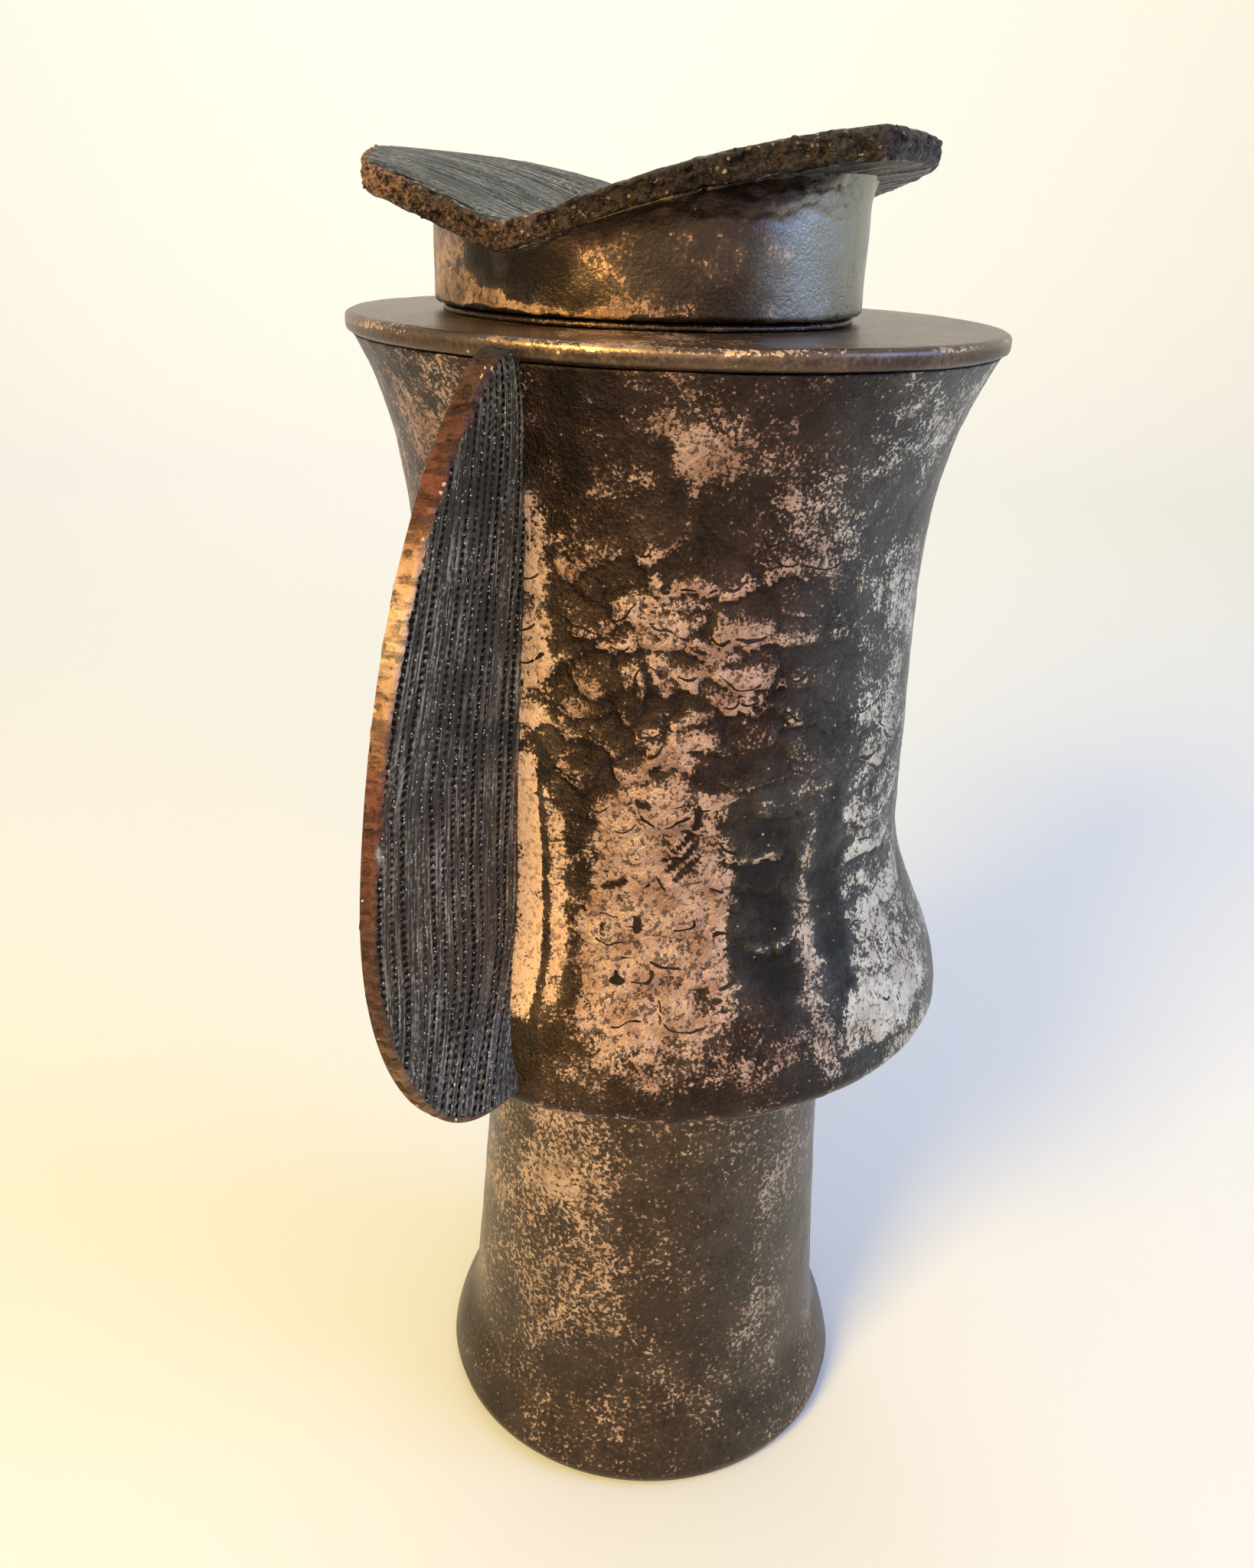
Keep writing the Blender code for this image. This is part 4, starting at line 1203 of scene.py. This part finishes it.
# Lid slab: a thick combed slab bent into two wings off one valley and luted to the drum.
# Its edge is torn and crumbly, with bronze grains, but for its right end, which is cut.
LID_FOOT = 0.3419
SLAB_THICK = 0.0074
SLAB_SETTLED = 0.0003
SLAB_TORN = 0.0026
SLAB_CUT = (0.044, 0.006)
SLAB_CELLS = (230, 150)
SLAB_RIM_ROWS = 12
SLAB_LEFT = (-0.0604, -0.0116, -0.0020)
SLAB_RIGHT = (0.0490, 0.0110, 0.0130)
SLAB_FRONT = (-0.0450, -0.0080, -0.0070)
SLAB_BACK = (0.0360, 0.0080, 0.0150)
SLAB_VALLEY = ((-0.0311, -0.0530), (0.0089, 0.0400))
VALLEY_HEIGHT = 0.0200
VALLEY_ROUND = 0.004
LEFT_WING = (0.0165, 0.035)
RIGHT_WING = (0.0255, 0.064)
SLAB_COMB = {"gap": 0.0019, "bead": 0.0500, "seed": 7.0}


def scattered_crumbs_tree():
    """Geometry nodes that press small crumbs of clay into a piece where its vertex value
    'crumbly' is high. The crumbs differ in size and turn, and take the edge's finish."""
    tree, given, result = clay_tree("scattered crumbs", {
        "Density": 400000.0,
        "Crumb size": 0.0005,
        "Seed": 1,
    })
    seed = given["Seed"]
    where = step_between(vertex_value(tree, "crumbly"), 0.6, 1.0)
    inputs = {"Mesh": given["Piece"], "Density": where * given["Density"], "Seed": seed}
    spots = add_node(tree, "GeometryNodeDistributePointsOnFaces", inputs).outputs
    inputs = {"Min": (0.45, 0.45, 0.35), "Max": (1.3, 1.1, 0.9), "Seed": seed}
    size = signal(tree, "FunctionNodeRandomValue", inputs, "Value", data_type="FLOAT_VECTOR")
    crumb = {"Radius": 1.0, "Subdivisions": 1}
    crumbs = signal(tree, "GeometryNodeInstanceOnPoints", {
        "Points": Signal(spots["Points"]),
        "Instance": signal(tree, "GeometryNodeMeshIcoSphere", crumb, "Mesh"),
        "Rotation": Signal(spots["Rotation"]),
        "Scale": vector_calc("MULTIPLY", size, given["Crumb size"]),
    })
    crumbs = signal(tree, "GeometryNodeRealizeInstances", {0: crumbs})
    crumbs = storing(crumbs, "torn", 1.0)
    crumbs = signal(tree, "GeometryNodeSetShadeSmooth", {0: crumbs})
    piece = add_node(tree, "GeometryNodeJoinGeometry")
    for part in (crumbs, given["Piece"]):
        tree.links.new(part.socket, piece.inputs[0])
    return end_piece(Signal(piece.outputs[0]), given, result)


def slab_place(u, v):
    """Plan position on the slab from the lid's axis: u left to right, v front to back."""

    def side(start, slant, bulge, run):
        """Place of one side, at a share of the way along it."""
        return start + slant * run + bulge * (4 * run * (1 - run))

    left, right = side(*SLAB_LEFT, v), side(*SLAB_RIGHT, v)
    front, back = side(*SLAB_FRONT, u), side(*SLAB_BACK, u)
    return left + (right - left) * u, front + (back - front) * v


def slab_height(x, y):
    """Height of the slab's top: two wings that rise from one valley."""
    start, finish = np.array(SLAB_VALLEY)
    along = (finish - start) / np.linalg.norm(finish - start)
    offset = (x - start[0]) * along[1] - (y - start[1]) * along[0]
    run = np.sqrt(offset ** 2 + VALLEY_ROUND ** 2) - VALLEY_ROUND
    left, right = (rise * np.tanh(run / reach) for rise, reach in (LEFT_WING, RIGHT_WING))
    return LID_FOOT + VALLEY_HEIGHT + np.where(offset < 0, left, right)


u, v, grid = cell_corners(SLAB_CELLS)
plan_x, plan_y = slab_place(u, v)
top = slab_height(plan_x, plan_y)
to_edge = np.minimum.reduce([0.115 * u, 0.120 * (1 - u), 0.090 * v, 0.100 * (1 - v)])
rim_lumps = wander(np.dstack([plan_x, plan_y, top]).reshape(-1, 3), 0.0034, 5.0)[:, 0]
rim_lumps = rim_lumps.reshape(u.shape)
soft_rim = (0.0016 + 0.0012 * rim_lumps) * np.clip(1.0 - to_edge / 0.0022, 0.0, 1.0) ** 1.5
plan = np.stack([plan_x + LID_AXIS[0], plan_y + LID_AXIS[1]], axis=-1)
points = [
    np.dstack([plan, side]).reshape(-1, 3)
    for side in (top - SLAB_SETTLED - soft_rim, top - SLAB_THICK + soft_rim)
]
faces = two_faces(grid)
border = np.concatenate([grid[0], grid[1:, -1], grid[-1, -2::-1], grid[-2::-1, 0]])


def slab_tear(share, line):
    """Depth of the torn edge between the slab's two faces: lumps with pits between."""
    way = line[:, :2] - np.array(LID_AXIS)
    way = way / np.linalg.norm(way, axis=1)[:, None]
    lumps = np.abs(wander(line, 0.0046, 6.0)[:, 0])
    pits = wander(line, 0.0016, 2.0)[:, 0]
    depth = (0.0006 - 0.0036 * lumps + 0.0006 * pits) * math.sin(math.pi * share) ** 0.5
    return np.column_stack([way * np.minimum(depth, 0.0004)[:, None], np.zeros(len(line))])


close_rim(points, faces, border, border + grid.size, SLAB_RIM_ROWS, slab_tear)
slab = new_piece("slab", np.vstack(points), (), faces)
pull = plan_y + 0.10 * plan_x + 0.0015 * np.sin(plan_x * 55.0)
torn = np.clip(1.0 - to_edge / SLAB_TORN, 0.0, 1.0)
for label, values, on_rim in (
    ("across", pull, 0.0),
    ("along", plan_x, 0.0),
    ("combed", np.clip(to_edge / 0.003, 0.0, 1.0), 0.0),
    ("torn", torn, 1.0),
    ("calm", np.clip(to_edge / 0.0040, 0.0, 1.0), 0.0),
):
    keep(slab, label, on_slab(slab, values, values, on_rim))
cut_start, cut_run = SLAB_CUT
cut_end = np.clip((places(slab)[:, 0] - cut_start) / cut_run, 0.0, 1.0)
keep(slab, "crumbly", on_slab(slab, torn, torn, 1.0) * (1.0 - cut_end))
outward(slab, weld=1e-6)
# The slab's slip: comb grooves painted dark as shade, hairline ridges painted pale as a highlight.
slab_clay = slab_clay_material(
    "slab clay",
    {
        **SLAB_COMB, "hairlines": 1700.0, "spark_share": 0.02,
        "groove": (0.005, 0.005, 0.005), "slip": (0.046, 0.046, 0.042), "ridge": (0.50, 0.50, 0.45),
    },
    {"grain_size": 0.0015, "cover": 0.50, "glint_share": 0.035, "glint": (0.40, 0.29, 0.22)},
    (
        (0.0, (0.52, 0.28, 0.19)), (0.10, (0.36, 0.20, 0.14)), (0.20, (0.11, 0.068, 0.052)),
        (0.32, (0.18, 0.105, 0.076)), (0.45, (0.080, 0.052, 0.041)), (0.60, (0.054, 0.038, 0.032)),
        (0.90, (0.075, 0.062, 0.052)), (1.0, (0.12, 0.12, 0.115)),
    ),
    0,
    (-0.080, 0.056),
)
shaped(slab, combed_clay, **SLAB_COMB, depth=0.0007, clay=slab_clay)
dents = {"dent_size": 0.0040, "dent_depth": 0.0022, "grain_size": 0.0012, "grain_depth": 0.0006}
shaped(slab, worked_clay, **dents, scale_depth=0.0, seed=4.0, clay=slab_clay)
crumbs = {"density": 600000.0, "crumb_size": 0.0007}
shaped(slab, scattered_crumbs_tree(), **crumbs, seed=3, clay=slab_clay)
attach(slab, "lid")
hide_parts("lid_slab")

# Lid drum: a collar rolled from one strip, which drops over the spigot. Wet clay is
# smeared up from it onto the slab. It is copper at the left, and blue-grey at the right,
# a painted reflection of the cool light there; under the slab's edge a band is painted
# black, partly crust and partly painted shade.
DRUM_RADIUS = 0.0533
DRUM_WALL = 0.0055
DRUM_LOW = LID_FOOT + 0.0002
DRUM_SUNK = 0.001
DRUM_STEPS = 300
DRUM_ROWS = 44
INNER_SHARES = (1.0, 0.75, 0.5, 0.25, 0.05)
drum_clay = clay_material(
    "drum clay",
    bump=0.0003,
    patch_size=0.005,
    patch_weight=2.2,
    speckle_size=0.0009,
    speckle_weight=1.7,
    fleck_share=0.01,
    faded_share=0.15,
    oxide=(0.060, 0.041, 0.031),
    cool_oxide=(0.28, 0.29, 0.245),
    lustre=(0.60, 0.35, 0.21),
    deep_lustre=(0.26, 0.15, 0.095),
    cool_lustre=(0.38, 0.40, 0.37),
)


def drum_line(east, south, lean):
    """The drum's outline at one angle, up its outside, which spreads where wet clay is
    smeared onto the slab, and down its inside."""
    smear = 0.0012 + 0.0030 * math.exp(-(((lean - 24) / 26) ** 2))
    smear += 0.0012 * noise.noise(Vector((east * 4, south * 4, 1.7)))
    inner = DRUM_RADIUS - DRUM_WALL
    under, inner_under = (
        float(slab_height(radius * east, radius * south)) - SLAB_THICK
        for radius in (DRUM_RADIUS, inner)
    )
    line = []
    for row in range(DRUM_ROWS + 1):
        height = DRUM_LOW + (under + DRUM_SUNK - LID_FOOT) * (row / DRUM_ROWS)
        reach = DRUM_RADIUS - 0.0002 + smear * max(0.0, 1.0 - (under - height) / 0.008) ** 2
        line.append((reach - 0.0008 * max(0.0, 1.0 - row / 1.5) ** 2, height))
    rise = inner_under + DRUM_SUNK - LID_FOOT
    line += [(inner, DRUM_LOW + rise * share) for share in INNER_SHARES]
    return line + [(inner + 0.0008, DRUM_LOW), (DRUM_RADIUS - 0.003, DRUM_LOW)]


points = []
for step in range(DRUM_STEPS):
    turn = 2 * math.pi * step / DRUM_STEPS
    east, south = math.sin(turn), -math.cos(turn)
    line = drum_line(east, south, (math.degrees(turn) + 180) % 360 - 180)
    for radius, height in line:
        points.append((LID_AXIS[0] + radius * east, LID_AXIS[1] + radius * south, height))
drum = outward(new_piece("drum", points, (), ring_faces(DRUM_STEPS, len(line))))
drum_place = turned_place(drum, LID_AXIS, (3.0, 0.0014), 9.0)
drum_worn = brushed(drum_place, 0.24, (
    (-62, 0.3500, 28, 0.0100, 0.66, 0.5),
    (16, 0.3510, 20, 0.0080, 0.20, 0.6),
    (2, 0.3440, 8, 0.0022, 0.36, 0.6),
    (-48, 0.3455, 26, 0.0035, 0.84, 0.5),
    (-20, 0.3440, 24, 0.0022, 0.70, 0.6),
    (165, 0.3500, 75, 0.0090, 0.42, 0.4),
    (-10, 0.3555, 6, 0.0026, 0.52, 0.6),
    (-5, 0.3510, 3, 0.0034, 0.46, 0.6),
    (-35, 0.3520, 5, 0.0040, 0.80, 0.4),
    (-42, 0.3575, 8, 0.0022, -0.50, 0.4),
    (-44, 0.3530, 7, 0.0030, -0.60, 0.8),
    (-38, 0.3490, 6, 0.0022, -0.40, 0.9),
    (-26, 0.3520, 7, 0.0050, -0.80, 0.6),
    (-16, 0.3475, 9, 0.0022, -0.50, 0.7),
    (-30, 0.3462, 3, 0.0012, -0.50, 0.4),
    (0, 0.3422, 180, 0.0006, -0.40, 0.5),
))
# Black crust and painted shade: the band of the drum under the slab's overhanging edge is painted
# black, partly crust and partly the shade that the slab casts.
crust_and_shade_low = ((-70, -45, -10, 20, 45, 60), (0.362, 0.3572, 0.3575, 0.3620, 0.368, 0.378))
over = np.interp(drum_place[0], *crust_and_shade_low)
crust_and_shade = np.clip((drum_place[1] - over) / 0.003, 0.0, 1.0)
keep(drum, "worn", drum_worn * (1.0 - crust_and_shade) - 0.50 * crust_and_shade)
keep(drum, "tooled", brushed(drum_place, 0.0, ((28, 0.3690, 30, 0.0060, 1.0, 0.5),)))
# Painted reflection: the drum's right side turns a pale blue-grey for the cool light it reflects,
# kept mostly off the black band.
drum_cool_light = brushed(drum_place, 0.0, ((88, 0.35, 54, 0.2, 1.0, 0.22),))
keep(drum, "cool", drum_cool_light * (1.0 - 0.8 * crust_and_shade))
dents = {"dent_size": 0.010, "dent_depth": 0.0006, "grain_size": 0.003, "grain_depth": 0.0001}
scales = {"scale_size": (0.006, 0.006, 0.003), "scale_depth": 0.0009}
shaped(drum, worked_clay, **dents, **scales, seed=6.0, clay=drum_clay)
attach(drum, "lid")
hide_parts("lid_drum")

# Studio: a pale sweep that the jug stands on, warm soft light from the left and cool
# light from the right, and the camera at the eye of the photograph.
SWEEP_FLAT = 1.7
SWEEP_ROUND = 0.9
SWEEP_TOP = 1.3
sweep_back = SWEEP_FLAT + SWEEP_ROUND
sweep_bend = curve((
    (SWEEP_FLAT, 0.0),
    (SWEEP_FLAT + 0.6 * SWEEP_ROUND, 0.0),
    (sweep_back, 0.4 * SWEEP_ROUND),
    (sweep_back, SWEEP_ROUND),
), 16)
sweep_line = joined((0.0, 0.0), (SWEEP_FLAT, 0.0), sweep_bend, (sweep_back, SWEEP_TOP))
sweep_paint = bpy.data.materials.new("studio sweep")
sweep_paint.use_nodes = True
sweep_shader = sweep_paint.node_tree.nodes["Principled BSDF"].inputs
sweep_shader["Base Color"].default_value = (0.86, 0.86, 0.86, 1.0)
sweep_shader["Roughness"].default_value = 0.9
sweep = turned("studio_sweep", sweep_line, (0.0, 0.0), 96, sweep_paint)
sweep.data.shade_smooth()


def soft_light(name, place, size, power, colour, target=(0.0, 0.0, 0.2)):
    """Square area light that faces a target."""
    lamp = bpy.data.lights.new(name, "AREA")
    lamp.size = size
    lamp.energy = power
    lamp.color = colour
    item = bpy.data.objects.new(name, lamp)
    item.location = place
    way = Vector(place) - Vector(target)
    item.rotation_euler = way.to_track_quat("Z", "Y").to_euler()
    bpy.context.scene.collection.objects.link(item)


soft_light("warm_window", (-0.82, -1.22, 1.08), 0.55, 32.0, (1.0, 0.71, 0.16))
soft_light("cool_window", (1.15, -0.25, 0.85), 0.8, 20.0, (0.12, 0.20, 0.48))
soft_light("front_fill", (0.1, -1.5, 0.8), 0.6, 3.0, (1.0, 0.86, 0.72))
soft_light("wall_wash", (-0.3, 1.3, 1.9), 1.2, 18.5, (1.0, 0.91, 0.75), (0.0, 2.6, 0.4))
world = bpy.data.worlds.new("studio air")
world.use_nodes = True
air = world.node_tree.nodes["Background"].inputs
air["Color"].default_value = (0.88, 0.97, 1.0, 1.0)
air["Strength"].default_value = 0.50
bpy.context.scene.world = world
bpy.context.scene.view_settings.view_transform = "Standard"

EYE = (0.0035, -0.3377, 0.3639)
EYE_YAW = -0.034
EYE_PITCH = 0.4152
EYE_ROLL = 0.0363
LENS = 29.88
SENSOR_WIDTH = 36.0
ahead = Vector((
    math.sin(EYE_YAW) * math.cos(EYE_PITCH),
    math.cos(EYE_YAW) * math.cos(EYE_PITCH),
    -math.sin(EYE_PITCH),
))
level_right = Vector((math.cos(EYE_YAW), -math.sin(EYE_YAW), 0.0))
level_up = level_right.cross(ahead)
right = level_right * math.cos(EYE_ROLL) + level_up * math.sin(EYE_ROLL)
up = level_up * math.cos(EYE_ROLL) - level_right * math.sin(EYE_ROLL)
camera = bpy.data.objects.new("camera", bpy.data.cameras.new("camera"))
camera.data.lens = LENS
camera.data.sensor_width = SENSOR_WIDTH
camera.data.clip_start = 0.01
camera.matrix_world = Matrix.Translation(EYE) @ Matrix((right, up, -ahead)).transposed().to_4x4()
bpy.context.scene.collection.objects.link(camera)
bpy.context.scene.camera = camera
